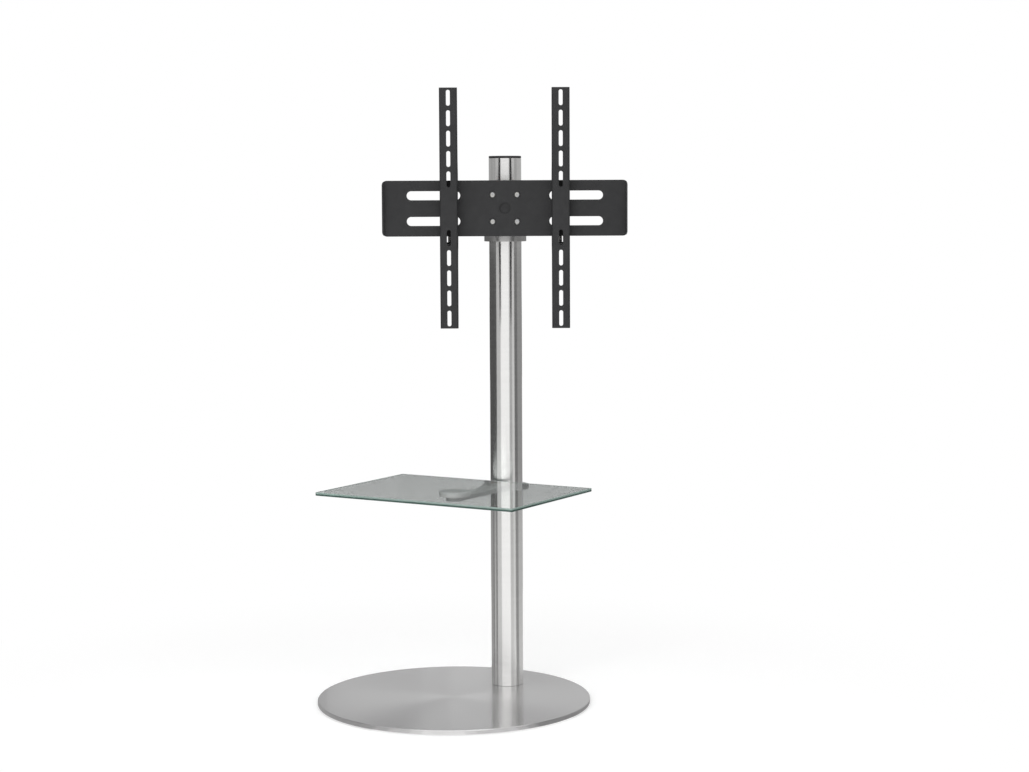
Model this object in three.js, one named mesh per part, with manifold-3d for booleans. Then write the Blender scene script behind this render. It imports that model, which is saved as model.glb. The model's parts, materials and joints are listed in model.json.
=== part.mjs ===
// A television stand: a round brushed-steel base, a steel column set behind its centre, a glass shelf
// clamped to the column, and a swivelling, tilting mount for a flat screen at the top.
// Lengths are in millimetres, angles in degrees, +Z is up and the front of the base faces -Y.
// The origin is on the floor, under the centre of the base.

import * as THREE from 'three';
import { mergeVertices } from 'three/addons/utils/BufferGeometryUtils.js';
import Module from 'manifold-3d';

const wasm = await Module();
wasm.setup();

// Driving dimensions

const COLUMN_DIAMETER = 60;
const COLUMN_WALL = 2;
const COLUMN_SETBACK = 145;
const BASE_DIAMETER = 500;
const BASE_THICKNESS = 8;
const SHELF_WIDTH = 410;
const SHELF_DEPTH = 285;
const SHELF_TOP = 400;
const GLASS_THICKNESS = 6;
const SHELF_BEHIND_GAP = 12;
const HEAD_HEIGHT = 905;
const COLUMN_ABOVE_HEAD = 95;
const ARM_LENGTH = 428;
const ARM_SPACING = 200;
const CROSS_PLATE_WIDTH = 440;
const CROSS_PLATE_HEIGHT = 100;

// The pose of the stand at rest, and the travel of the tilt

const HEAD_TURN = 42.5;
const SHELF_TURN = 12;
const TILT_BACK_LIMIT = -5;
const TILT_DOWN_LIMIT = 15;

// Clearances

const SEAT_GAP = 0.3;
const FIT_GAP = 0.3;
const SLOT_GAP = 0.4;
const CUT_OVERRUN = 1;
const MERGE_GAP = 0.0001;

// Facets round a full circle, and half the chords in an arc of an outline

const LARGE_SIDES = 96;
const TUBE_SIDES = 64;
const RING_SIDES = 32;
const ROD_SIDES = 18;
const SCREW_SIDES = 10;
const HEX_SIDES = 6;
const LOBE_SIDES = 7;
const LONG_ARC = 8;
const SHORT_ARC = 2;
const TINY_ARC = 1;

// Fasteners, named by their thread: diameters of thread and head, the head's height and the key's socket

const M4_CAP = { thread: 4, head: 7, height: 4, chamfer: 0.5, socket: 3, socketDepth: 2 };
const M6_BUTTON = { thread: 6, head: 10.5, height: 3.3, chamfer: 0.75, socket: 4, socketDepth: 2 };
const M8_BUTTON = { thread: 8, head: 14, height: 4.4, chamfer: 1, socket: 5, socketDepth: 2.6 };
const M8_COUNTERSUNK = { thread: 8, head: 16, rim: 0.6, socket: 5, socketDepth: 3 };

// A button head's dome, as shares of its radius and its height, from the rim to the top
const DOME_SHARES = [[1, 0], [0.9, 0.55], [0.56, 1]];

// Shapes and solids

function radians(degrees) {
  return THREE.MathUtils.degToRad(degrees);
}

function toSolid(geometry) {
  const bare = geometry.clone();
  bare.deleteAttribute('normal');
  bare.deleteAttribute('uv');
  const merged = mergeVertices(bare, MERGE_GAP);
  const points = merged.attributes.position;
  const corner = [new THREE.Vector3(), new THREE.Vector3(), new THREE.Vector3()];
  const triangles = [];
  let volume = 0;
  for (let i = 0; i < merged.index.count; i += 3) {
    const [a, b, c] = [0, 1, 2].map((k) => merged.index.getX(i + k));
    if (a === b || b === c || c === a) continue;
    [a, b, c].forEach((vertex, k) => corner[k].fromBufferAttribute(points, vertex));
    volume += corner[0].dot(corner[1].clone().cross(corner[2]));
    triangles.push([a, b, c]);
  }
  // A profile may run either way round, so faces that point inwards are turned here.
  const outward = volume > 0 ? triangles : triangles.map(([a, b, c]) => [a, c, b]);
  return new wasm.Manifold(new wasm.Mesh({
    numProp: 3,
    vertProperties: Float32Array.from(points.array),
    triVerts: Uint32Array.from(outward.flat()),
  }));
}

function toGeometry(solid) {
  const mesh = solid.getMesh();
  const geometry = new THREE.BufferGeometry();
  geometry.setAttribute('position', new THREE.BufferAttribute(Float32Array.from(mesh.vertProperties), 3));
  geometry.setIndex(new THREE.BufferAttribute(Uint32Array.from(mesh.triVerts), 1));
  geometry.computeVertexNormals();
  return geometry;
}

function join(...solids) {
  return solids.reduce((whole, solid) => whole.add(solid));
}

function cut(solid, ...cutters) {
  return cutters.reduce((whole, cutter) => whole.subtract(cutter), solid);
}

// Round bars along each axis, from one coordinate to another

function rodZ(radius, from, to, x = 0, y = 0, sides = ROD_SIDES) {
  const geometry = new THREE.CylinderGeometry(radius, radius, to - from, sides);
  geometry.rotateX(Math.PI / 2);
  geometry.translate(x, y, (from + to) / 2);
  return toSolid(geometry);
}

function rodY(radius, from, to, x = 0, z = 0, sides = ROD_SIDES) {
  const geometry = new THREE.CylinderGeometry(radius, radius, to - from, sides);
  geometry.translate(x, (from + to) / 2, z);
  return toSolid(geometry);
}

function rodX(radius, from, to, y = 0, z = 0, sides = ROD_SIDES) {
  const geometry = new THREE.CylinderGeometry(radius, radius, to - from, sides);
  geometry.rotateZ(-Math.PI / 2);
  geometry.translate((from + to) / 2, y, z);
  return toSolid(geometry);
}

function block(x, y, z) {
  const geometry = new THREE.BoxGeometry(x[1] - x[0], y[1] - y[0], z[1] - z[0]);
  geometry.translate((x[0] + x[1]) / 2, (y[0] + y[1]) / 2, (z[0] + z[1]) / 2);
  return toSolid(geometry);
}

// Outlines pushed along each axis: prismZ takes (x, y) outlines, prismY (x, z) and prismX (y, z)

function extrusion(shape, depth, steps, bevel) {
  return new THREE.ExtrudeGeometry(shape, {
    depth: depth - 2 * bevel,
    curveSegments: steps,
    bevelEnabled: bevel > 0,
    bevelThickness: bevel,
    bevelSize: bevel,
    bevelOffset: -bevel,
    bevelSegments: 1,
  }).translate(0, 0, bevel);
}

function prismZ(shape, from, to, steps = SHORT_ARC, bevel = 0) {
  const geometry = extrusion(shape, to - from, steps, bevel);
  geometry.translate(0, 0, from);
  return toSolid(geometry);
}

function prismY(shape, from, to, steps = SHORT_ARC, bevel = 0) {
  const geometry = extrusion(shape, to - from, steps, bevel);
  geometry.rotateX(Math.PI / 2);
  geometry.translate(0, to, 0);
  return toSolid(geometry);
}

function prismX(shape, from, to, steps = SHORT_ARC, bevel = 0) {
  const geometry = extrusion(shape, to - from, steps, bevel);
  const turn = new THREE.Matrix4();
  turn.makeBasis(new THREE.Vector3(0, 1, 0), new THREE.Vector3(0, 0, 1), new THREE.Vector3(1, 0, 0));
  geometry.applyMatrix4(turn);
  geometry.translate(from, 0, 0);
  return toSolid(geometry);
}

// A profile of [radius, height] points, turned about Z

function revolve(profile, sides = ROD_SIDES) {
  const points = profile.map(([radius, height]) => new THREE.Vector2(radius, height));
  const geometry = new THREE.LatheGeometry(points, sides);
  geometry.rotateX(Math.PI / 2);
  return toSolid(geometry);
}

// The rounded top edge of a revolved piece, from its side to its top face
function roundedEdge(radius, top, rounding) {
  return [0, Math.PI / 4, Math.PI / 2].map((angle) => [
    radius - rounding + rounding * Math.cos(angle),
    top - rounding + rounding * Math.sin(angle),
  ]);
}

function ring(outer, inner, from, to, sides = RING_SIDES) {
  const profile = [[inner, from], [outer, from], [outer, to], [inner, to], [inner, from]];
  return revolve(profile, sides);
}

function oblong(width, height, x = 0, y = 0) {
  const radius = Math.min(width, height) / 2;
  const straightX = width / 2 - radius;
  const straightY = height / 2 - radius;
  const shape = new THREE.Shape();
  shape.absarc(x + straightX, y + straightY, radius, 0, Math.PI / 2);
  shape.absarc(x - straightX, y + straightY, radius, Math.PI / 2, Math.PI);
  shape.absarc(x - straightX, y - straightY, radius, Math.PI, 1.5 * Math.PI);
  shape.absarc(x + straightX, y - straightY, radius, 1.5 * Math.PI, 2 * Math.PI);
  return shape;
}

function roundedRectangle(width, height, radius, x = 0, y = 0) {
  const [right, top] = [width / 2 - radius, height / 2 - radius];
  const shape = new THREE.Shape();
  shape.absarc(x + right, y + top, radius, 0, Math.PI / 2);
  shape.absarc(x - right, y + top, radius, Math.PI / 2, Math.PI);
  shape.absarc(x - right, y - top, radius, Math.PI, 1.5 * Math.PI);
  shape.absarc(x + right, y - top, radius, 1.5 * Math.PI, 2 * Math.PI);
  return shape;
}

// A slot bent round the origin, from one angle to another
function arcSlot(radius, width, from, to) {
  const half = width / 2;
  const [start, end] = [radians(from), radians(to)];
  const [startX, startY] = [radius * Math.cos(start), radius * Math.sin(start)];
  const [endX, endY] = [radius * Math.cos(end), radius * Math.sin(end)];
  const shape = new THREE.Shape();
  shape.absarc(0, 0, radius + half, start, end);
  shape.absarc(endX, endY, half, end, end + Math.PI);
  shape.absarc(0, 0, radius - half, end, start, true);
  shape.absarc(startX, startY, half, start + Math.PI, start + 2 * Math.PI);
  return shape;
}

// The angle at which a line from a point touches a circle; side is 1 or -1
function tangentAngle(point, centre, radius, side) {
  const offset = point.clone().sub(centre);
  return offset.angle() + side * Math.acos(radius / offset.length());
}

// Screws stand on their head's bearing face at z = 0 with the shank downwards

function hexSocket(width, top, depth) {
  const radius = width / (2 * Math.cos(Math.PI / HEX_SIDES));
  return rodZ(radius, top - depth, top + CUT_OVERRUN, 0, 0, HEX_SIDES);
}

function capScrew(size, length) {
  const [shank, head] = [size.thread / 2, size.head / 2];
  const body = revolve([
    [0, -length], [shank - size.chamfer, -length], [shank, size.chamfer - length], [shank, 0],
    [head, 0], [head, size.height - size.chamfer], [head - size.chamfer, size.height], [0, size.height],
  ], SCREW_SIDES);
  return cut(body, hexSocket(size.socket, size.height, size.socketDepth));
}

function buttonScrew(size, length) {
  const [shank, head] = [size.thread / 2, size.head / 2];
  const dome = DOME_SHARES.map(([across, up]) => [head * across, size.height * up]);
  const body = revolve([
    [0, -length], [shank - size.chamfer, -length], [shank, size.chamfer - length], [shank, 0],
    ...dome, [0, size.height],
  ], SCREW_SIDES);
  return cut(body, hexSocket(size.socket, size.height, size.socketDepth));
}

// The countersunk form, head face at z = 0 and shank upwards, grown by a gap to make its hole
function countersunk(size, length, gap, below) {
  const [shank, head] = [size.thread / 2, size.head / 2];
  return revolve([
    [0, -below], [head + gap, -below], [head + gap, size.rim],
    [shank + gap, size.rim + head - shank], [shank + gap, length], [0, length],
  ], SCREW_SIDES);
}

// A hand knob with lobes, standing on its hub at z = 0, with a blind bore in the hub
function starKnob({ lobes, diameter, dip, gripHeight, hub, hubHeight, bore, boreDepth, bevel }) {
  const count = lobes * LOBE_SIDES;
  const outline = Array.from({ length: count }, (_, i) => {
    const angle = (2 * Math.PI * i) / count;
    const radius = diameter / 2 - dip * (0.5 - 0.5 * Math.cos(lobes * angle));
    return new THREE.Vector2(radius * Math.cos(angle), radius * Math.sin(angle));
  });
  const grip = prismZ(new THREE.Shape(outline), hubHeight, hubHeight + gripHeight, SHORT_ARC, bevel);
  const stem = rodZ(hub / 2, 0, hubHeight + bevel);
  return cut(join(grip, stem), rodZ(bore / 2, -CUT_OVERRUN, boreDepth, 0, 0, SCREW_SIDES));
}

// Materials

function material(colour, roughness, metalness, extra = {}) {
  return new THREE.MeshStandardMaterial({ color: colour, roughness, metalness, ...extra });
}

const brushedSteel = material(0xb4b2b0, 0.34, 1);
const spunSteel = material(0xacaaaa, 0.38, 1);
const blackPaint = material(0x1b1b1d, 0.5, 0.3);
const zincSteel = material(0xa6a8aa, 0.4, 1);
const blackPlastic = material(0x18181a, 0.55, 0);
const paleNylon = material(0xd8d5cc, 0.5, 0);
const blackRubber = material(0x222222, 0.85, 0);
const brownFibre = material(0x5a4636, 0.8, 0);
const shelfGlass = material(0x9fb5ab, 0.05, 0, { transparent: true, opacity: 0.4 });

const stand = new THREE.Group();

function piece(parent, name, solid, look, position = [0, 0, 0], rotation = [0, 0, 0]) {
  const mesh = new THREE.Mesh(toGeometry(solid), look);
  mesh.name = name;
  mesh.position.set(...position);
  mesh.rotation.set(...rotation);
  parent.add(mesh);
}

// The base: a soft mat on the floor, and the round steel plate on it

const MAT_THICKNESS = 1.5;
const MAT_INSET = 9;
const BASE_TOP_CHAMFER = 1.2;
const BASE_FOOT_CHAMFER = 0.6;
const BASE_FOOT = MAT_THICKNESS + SEAT_GAP;
const BASE_TOP = BASE_FOOT + BASE_THICKNESS;
const COLUMN_BOLT_COUNT = 4;
const COLUMN_BOLT_CIRCLE = 34;

function boltPlaces() {
  return Array.from({ length: COLUMN_BOLT_COUNT }, (_, i) => {
    const angle = (2 * Math.PI * (i + 0.5)) / COLUMN_BOLT_COUNT;
    return [COLUMN_BOLT_CIRCLE / 2 * Math.cos(angle), COLUMN_BOLT_CIRCLE / 2 * Math.sin(angle)];
  });
}

function addBase() {
  const radius = BASE_DIAMETER / 2;
  const mat = rodZ(radius - MAT_INSET, 0, MAT_THICKNESS, 0, 0, TUBE_SIDES);
  piece(stand, 'base_mat', mat, blackRubber);
  const plate = revolve([
    [0, 0], [radius - BASE_FOOT_CHAMFER, 0], [radius, BASE_FOOT_CHAMFER],
    [radius, BASE_THICKNESS - BASE_TOP_CHAMFER], [radius - BASE_TOP_CHAMFER, BASE_THICKNESS],
    [0, BASE_THICKNESS],
  ], LARGE_SIDES);
  const holes = boltPlaces().map(([x, y]) => {
    const hole = countersunk(M8_COUNTERSUNK, BASE_THICKNESS + CUT_OVERRUN, FIT_GAP, CUT_OVERRUN);
    return hole.translate([x, COLUMN_SETBACK + y, SEAT_GAP]);
  });
  piece(stand, 'base_disc', cut(plate, ...holes), spunSteel, [0, 0, BASE_FOOT]);
}

// The column: a tube bolted down on a plug from under the base, closed by a cap, with two cable openings

const PLUG_HEIGHT = 25;
const BOLT_ENGAGEMENT = 18;
const COLUMN_FOOT = BASE_TOP + SEAT_GAP;
const CAP_THICKNESS = 4;
const CAP_ROUNDING = 1.5;
const CAP_WEB = 1.5;
const CAP_SPIGOT = 14;
const CAP_SPIGOT_WALL = 3;
const COLUMN_TOP = HEAD_HEIGHT + COLUMN_ABOVE_HEAD;
const TUBE_TOP = COLUMN_TOP - CAP_THICKNESS - SEAT_GAP;
const TUBE_RADIUS = COLUMN_DIAMETER / 2;
const TUBE_BORE = TUBE_RADIUS - COLUMN_WALL;
const CABLE_SLOT_WIDTH = 26;
const CABLE_SLOT_HEIGHT = 50;
const LOWER_SLOT_RISE = 60;
const UPPER_SLOT_DROP = 130;
const GROMMET_WALL = 1.6;
const GROMMET_LIP = 2.5;
const GROMMET_LIP_THICKNESS = 1.4;
const CABLE_SLOTS = { lower: BASE_TOP + LOWER_SLOT_RISE, upper: HEAD_HEIGHT - UPPER_SLOT_DROP };

function grommet() {
  const sleeveWidth = CABLE_SLOT_WIDTH - 2 * FIT_GAP;
  const sleeveHeight = CABLE_SLOT_HEIGHT - 2 * FIT_GAP;
  const hole = oblong(sleeveWidth - 2 * GROMMET_WALL, sleeveHeight - 2 * GROMMET_WALL);
  const lip = oblong(CABLE_SLOT_WIDTH + 2 * GROMMET_LIP, CABLE_SLOT_HEIGHT + 2 * GROMMET_LIP);
  const half = CABLE_SLOT_HEIGHT / 2 + GROMMET_LIP + CUT_OVERRUN;
  const outside = TUBE_RADIUS + FIT_GAP;
  const inside = TUBE_BORE - FIT_GAP;
  const reach = outside + GROMMET_LIP_THICKNESS + CUT_OVERRUN;
  const outerLip = ring(outside + GROMMET_LIP_THICKNESS, outside, -half, half);
  const innerLip = ring(inside, inside - GROMMET_LIP_THICKNESS, -half, half);
  const wall = ring(outside + GROMMET_LIP_THICKNESS, inside - GROMMET_LIP_THICKNESS, -half, half);
  const lips = join(outerLip, innerLip).intersect(prismY(lip, 0, reach));
  const sleeve = wall.intersect(prismY(oblong(sleeveWidth, sleeveHeight), 0, reach));
  return cut(join(lips, sleeve), prismY(hole, 0, reach));
}

function addColumn() {
  const axis = [0, COLUMN_SETBACK, 0];
  const slots = Object.values(CABLE_SLOTS).map((height) => {
    return prismY(oblong(CABLE_SLOT_WIDTH, CABLE_SLOT_HEIGHT, 0, height), 0, TUBE_RADIUS + CUT_OVERRUN);
  });
  const tube = ring(TUBE_RADIUS, TUBE_BORE, COLUMN_FOOT, TUBE_TOP, TUBE_SIDES);
  piece(stand, 'column_tube', cut(tube, ...slots), brushedSteel, axis);
  for (const [place, height] of Object.entries(CABLE_SLOTS)) {
    piece(stand, `cable_grommet_${place}`, grommet(), blackRubber, [0, COLUMN_SETBACK, height]);
  }

  const plugTop = COLUMN_FOOT + PLUG_HEIGHT;
  const boltHoles = boltPlaces().map(([x, y]) => {
    const radius = M8_COUNTERSUNK.thread / 2 + FIT_GAP;
    return rodZ(radius, COLUMN_FOOT - CUT_OVERRUN, plugTop + CUT_OVERRUN, x, y, SCREW_SIDES);
  });
  const plug = rodZ(TUBE_BORE - FIT_GAP, COLUMN_FOOT, plugTop, 0, 0, RING_SIDES);
  piece(stand, 'column_plug', cut(plug, ...boltHoles), zincSteel, axis);
  const boltLength = BASE_THICKNESS + BOLT_ENGAGEMENT;
  boltPlaces().forEach(([x, y], i) => {
    const bolt = countersunk(M8_COUNTERSUNK, boltLength, 0, 0);
    const socket = hexSocket(M8_COUNTERSUNK.socket, 0, M8_COUNTERSUNK.socketDepth).rotate([180, 0, 0]);
    const place = [x, COLUMN_SETBACK + y, BASE_FOOT + SEAT_GAP];
    piece(stand, `column_bolt_${i + 1}`, cut(bolt, socket), zincSteel, place);
  });

  const spigot = TUBE_BORE - FIT_GAP;
  const cap = revolve([
    [0, -CAP_WEB], [spigot - CAP_SPIGOT_WALL, -CAP_WEB], [spigot - CAP_SPIGOT_WALL, -CAP_SPIGOT],
    [spigot, -CAP_SPIGOT], [spigot, 0], [TUBE_RADIUS, 0],
    ...roundedEdge(TUBE_RADIUS, CAP_THICKNESS, CAP_ROUNDING), [0, CAP_THICKNESS],
  ], RING_SIDES);
  piece(stand, 'column_cap', cap, blackPlastic, [0, COLUMN_SETBACK, COLUMN_TOP - CAP_THICKNESS]);
}

// The swivelling collar and what carries it; heights are measured from the tilt axle

const COLLAR_HEIGHT = 90;
const COLLAR_WALL = 6.4;
const COLLAR_BEVEL = 1;
const BUSH_WALL = 2;
const BUSH_SLEEVE = 28;
const BUSH_FLANGE_THICKNESS = 2.5;
const BUSH_FLANGE_INSET = 2;
const BUSH_BORE = TUBE_RADIUS + FIT_GAP;
const BUSH_RADIUS = BUSH_BORE + BUSH_WALL;
const COLLAR_BORE = BUSH_RADIUS + FIT_GAP;
const COLLAR_RADIUS = COLLAR_BORE + COLLAR_WALL;
const PAD_REACH = 7;
const PAD_WIDTH = 64;
const PAD_CORNER = 4;
const PAD_FACE = -(COLLAR_RADIUS + PAD_REACH);
const KNOB_BOSS_RADIUS = 13;
const KNOB_BOSS_REACH = 8;
const KNOB_BOSS_FACE = COLLAR_RADIUS + KNOB_BOSS_REACH;
const SUPPORT_HEIGHT = 14;
const SUPPORT_SPLIT = 3;
const SUPPORT_SCREW_LENGTH = 18;
const SUPPORT_HEAD_FACE = 8.5;

const headGroup = new THREE.Group();
headGroup.position.set(0, COLUMN_SETBACK, HEAD_HEIGHT);
headGroup.rotation.z = radians(HEAD_TURN);
stand.add(headGroup);

function supportRing() {
  const top = HEAD_HEIGHT - COLLAR_HEIGHT / 2 - BUSH_FLANGE_THICKNESS - 2 * SEAT_GAP;
  const middle = top - SUPPORT_HEIGHT / 2;
  const inner = TUBE_RADIUS + FIT_GAP;
  const screwLine = (inner + COLLAR_RADIUS) / 2;
  const headFace = SUPPORT_HEAD_FACE;
  const screwTip = headFace - SUPPORT_SCREW_LENGTH;
  const shankRadius = M4_CAP.thread / 2 + FIT_GAP;
  const headRadius = M4_CAP.head / 2 + FIT_GAP;
  const body = ring(COLLAR_RADIUS, inner, top - SUPPORT_HEIGHT, top);
  const split = block(
    [-SUPPORT_SPLIT / 2, SUPPORT_SPLIT / 2],
    [0, COLLAR_RADIUS + CUT_OVERRUN],
    [top - SUPPORT_HEIGHT - CUT_OVERRUN, top + CUT_OVERRUN],
  );
  const hole = rodX(shankRadius, screwTip - CUT_OVERRUN, headFace, screwLine, middle, SCREW_SIDES);
  const pocket = rodX(headRadius, headFace - SEAT_GAP, COLLAR_RADIUS, screwLine, middle, SCREW_SIDES);
  piece(stand, 'support_ring', cut(body, split, hole, pocket), brushedSteel, [0, COLUMN_SETBACK, 0]);
  const screw = capScrew(M4_CAP, SUPPORT_SCREW_LENGTH);
  const place = [headFace, COLUMN_SETBACK + screwLine, middle];
  piece(stand, 'support_ring_screw', screw, zincSteel, place, [0, Math.PI / 2, 0]);
}

function collarOutline() {
  const halfPad = PAD_WIDTH / 2;
  const shoulder = new THREE.Vector2(halfPad, PAD_FACE + PAD_CORNER);
  const touch = tangentAngle(shoulder, new THREE.Vector2(), COLLAR_RADIUS, 1);
  const shape = new THREE.Shape();
  shape.moveTo(-halfPad + PAD_CORNER, PAD_FACE);
  shape.lineTo(halfPad - PAD_CORNER, PAD_FACE);
  shape.absarc(halfPad - PAD_CORNER, PAD_FACE + PAD_CORNER, PAD_CORNER, 1.5 * Math.PI, 2 * Math.PI);
  shape.absarc(0, 0, COLLAR_RADIUS, touch - 2 * Math.PI, Math.PI - (touch - 2 * Math.PI));
  shape.absarc(-halfPad + PAD_CORNER, PAD_FACE + PAD_CORNER, PAD_CORNER, Math.PI, 1.5 * Math.PI);
  return shape;
}

const YOKE_SCREW_SPREAD = 48;
const YOKE_SCREW_RISE = 52;
const YOKE_SCREW_LENGTH = 16;

function yokeScrewPlaces() {
  const places = [];
  for (const side of [-1, 1]) {
    for (const level of [-1, 1]) {
      places.push([side * YOKE_SCREW_SPREAD / 2, level * YOKE_SCREW_RISE / 2]);
    }
  }
  return places;
}

const LOCK_STUD_RADIUS = 4;
const BRAKE_PAD_LENGTH = 3.5;

function addCollar() {
  const half = COLLAR_HEIGHT / 2;
  const body = prismZ(collarOutline(), -half, half, LONG_ARC, COLLAR_BEVEL);
  const boss = rodY(KNOB_BOSS_RADIUS, COLLAR_BORE, KNOB_BOSS_FACE);
  const bore = rodZ(COLLAR_BORE, -half - CUT_OVERRUN, half + CUT_OVERRUN, 0, 0, RING_SIDES);
  const studHole = rodY(LOCK_STUD_RADIUS + FIT_GAP, 0, KNOB_BOSS_FACE + CUT_OVERRUN, 0, 0, SCREW_SIDES);
  const screwHoles = yokeScrewPlaces().map(([x, z]) => {
    const end = PAD_FACE + YOKE_SCREW_LENGTH - SEAT_GAP;
    return rodY(M6_BUTTON.thread / 2 + FIT_GAP, PAD_FACE - CUT_OVERRUN, end, x, z, SCREW_SIDES);
  });
  const collar = cut(join(body, boss), bore, studHole, ...screwHoles);
  piece(headGroup, 'swivel_collar', collar, brushedSteel);

  const flangeFace = half + SEAT_GAP;
  const flangeTop = flangeFace + BUSH_FLANGE_THICKNESS;
  const flangeRadius = COLLAR_RADIUS - BUSH_FLANGE_INSET;
  const bush = revolve([
    [BUSH_BORE, flangeFace - BUSH_SLEEVE], [BUSH_RADIUS, flangeFace - BUSH_SLEEVE],
    [BUSH_RADIUS, flangeFace], [flangeRadius, flangeFace], [flangeRadius, flangeTop],
    [BUSH_BORE, flangeTop], [BUSH_BORE, flangeFace - BUSH_SLEEVE],
  ], RING_SIDES);
  piece(headGroup, 'upper_bush', bush, paleNylon);
  piece(headGroup, 'lower_bush', bush.mirror([0, 0, 1]), paleNylon);

  const padFrom = TUBE_RADIUS + FIT_GAP;
  const pad = rodY(LOCK_STUD_RADIUS, padFrom, padFrom + BRAKE_PAD_LENGTH, 0, 0, SCREW_SIDES);
  piece(headGroup, 'swivel_brake_pad', pad, paleNylon);
}

const SWIVEL_KNOB = {
  lobes: 6,
  diameter: 44,
  dip: 5,
  gripHeight: 15,
  hub: 20,
  hubHeight: 7,
  bore: 2 * (LOCK_STUD_RADIUS + FIT_GAP),
  boreDepth: 16,
  bevel: 2,
};
const KNOB_STANDOFF = 3;

function addSwivelLock() {
  const tip = TUBE_RADIUS + 2 * FIT_GAP + BRAKE_PAD_LENGTH;
  const hubFace = KNOB_BOSS_FACE + KNOB_STANDOFF;
  const stud = rodY(LOCK_STUD_RADIUS, tip, hubFace + SWIVEL_KNOB.boreDepth - SEAT_GAP, 0, 0, SCREW_SIDES);
  piece(headGroup, 'swivel_lock_stud', stud, zincSteel);
  const knob = starKnob(SWIVEL_KNOB);
  piece(headGroup, 'swivel_lock_knob', knob, blackPlastic, [0, hubFace, 0], [-Math.PI / 2, 0, 0]);
}

// The yoke: a U of sheet steel screwed to the collar's pad, with the tilt axle across its nose

const YOKE_SHEET = 5;
const YOKE_WIDTH = 110;
const YOKE_WEB_HEIGHT = 84;
const YOKE_SHOULDER = 12;
const YOKE_NOSE_RADIUS = 22;
const YOKE_OUTER_BEND = 8;
const YOKE_BACK = PAD_FACE - SEAT_GAP;
const YOKE_INSIDE = YOKE_WIDTH / 2 - YOKE_SHEET;
const AXLE_RADIUS = 5;
const GUIDE_REACH = 26;
const GUIDE_SCREW_LENGTH = 11;
const GUIDE_OVERTRAVEL = 1;
const TILT_NOSE_RADIUS = 10;
const TILT_CLEARANCE = 2.7;
const AXLE_REACH = YOKE_SHEET - YOKE_BACK + TILT_CLEARANCE + TILT_NOSE_RADIUS + GUIDE_REACH;
const TIGHTEST_BEND_SHARE = 0.25;

function channelOutline(halfWidth, sheet, bend, webFace, open) {
  // A U in plan: the outside of its web lies at webFace, and its legs run from there to open.
  const way = Math.sign(open - webFace);
  const inner = Math.max(bend - sheet, sheet * TIGHTEST_BEND_SHARE);
  const shape = new THREE.Shape();
  const corner = (x, y, radius, from, to, clockwise) => {
    const turned = way > 0 ? !clockwise : clockwise;
    shape.absarc(x, y, radius, -way * radians(from), -way * radians(to), turned);
  };
  shape.moveTo(halfWidth, open);
  corner(halfWidth - bend, webFace + way * bend, bend, 0, 90, false);
  corner(bend - halfWidth, webFace + way * bend, bend, 90, 180, false);
  shape.lineTo(-halfWidth, open);
  shape.lineTo(sheet - halfWidth, open);
  corner(sheet + inner - halfWidth, webFace + way * (sheet + inner), inner, 180, 90, true);
  corner(halfWidth - sheet - inner, webFace + way * (sheet + inner), inner, 90, 0, true);
  shape.lineTo(halfWidth - sheet, open);
  return shape;
}

function yokeSide() {
  const nose = new THREE.Vector2(-AXLE_REACH, 0);
  const half = YOKE_WEB_HEIGHT / 2;
  const shoulder = YOKE_BACK - YOKE_SHOULDER;
  const touch = tangentAngle(new THREE.Vector2(shoulder, half), nose, YOKE_NOSE_RADIUS, 1);
  const shape = new THREE.Shape();
  shape.moveTo(YOKE_BACK + CUT_OVERRUN, -half);
  shape.lineTo(YOKE_BACK + CUT_OVERRUN, half);
  shape.lineTo(shoulder, half);
  shape.absarc(nose.x, nose.y, YOKE_NOSE_RADIUS, touch, 2 * Math.PI - touch);
  shape.lineTo(shoulder, -half);
  return shape;
}

function addYoke() {
  const half = YOKE_WEB_HEIGHT / 2;
  const reach = YOKE_WIDTH / 2 + CUT_OVERRUN;
  const open = -AXLE_REACH - YOKE_NOSE_RADIUS - CUT_OVERRUN;
  const outline = channelOutline(YOKE_WIDTH / 2, YOKE_SHEET, YOKE_OUTER_BEND, YOKE_BACK, open);
  const channel = prismZ(outline, -half, half).intersect(prismX(yokeSide(), -reach, reach, LONG_ARC));
  const axleHole = rodX(AXLE_RADIUS + FIT_GAP, -reach, reach, -AXLE_REACH, 0);
  const slotWidth = M6_BUTTON.thread + 2 * SLOT_GAP;
  const slotEnds = [TILT_BACK_LIMIT - GUIDE_OVERTRAVEL, TILT_DOWN_LIMIT + GUIDE_OVERTRAVEL];
  const slots = prismX(arcSlot(GUIDE_REACH, slotWidth, ...slotEnds), -reach, reach);
  const placedSlots = slots.translate([0, -AXLE_REACH, 0]);
  const screwHoles = yokeScrewPlaces().map(([x, z]) => {
    const from = YOKE_BACK - YOKE_SHEET - CUT_OVERRUN;
    return rodY(M6_BUTTON.thread / 2 + FIT_GAP, from, YOKE_BACK + CUT_OVERRUN, x, z, SCREW_SIDES);
  });
  piece(headGroup, 'yoke', cut(channel, axleHole, placedSlots, ...screwHoles), blackPaint);
  yokeScrewPlaces().forEach(([x, z], i) => {
    const place = [x, YOKE_BACK - YOKE_SHEET - SEAT_GAP, z];
    const screw = buttonScrew(M6_BUTTON, YOKE_SCREW_LENGTH);
    piece(headGroup, `yoke_screw_${i + 1}`, screw, zincSteel, place, [Math.PI / 2, 0, 0]);
  });
}

// The tilt axle with its washers, spacer and hand knob

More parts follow.
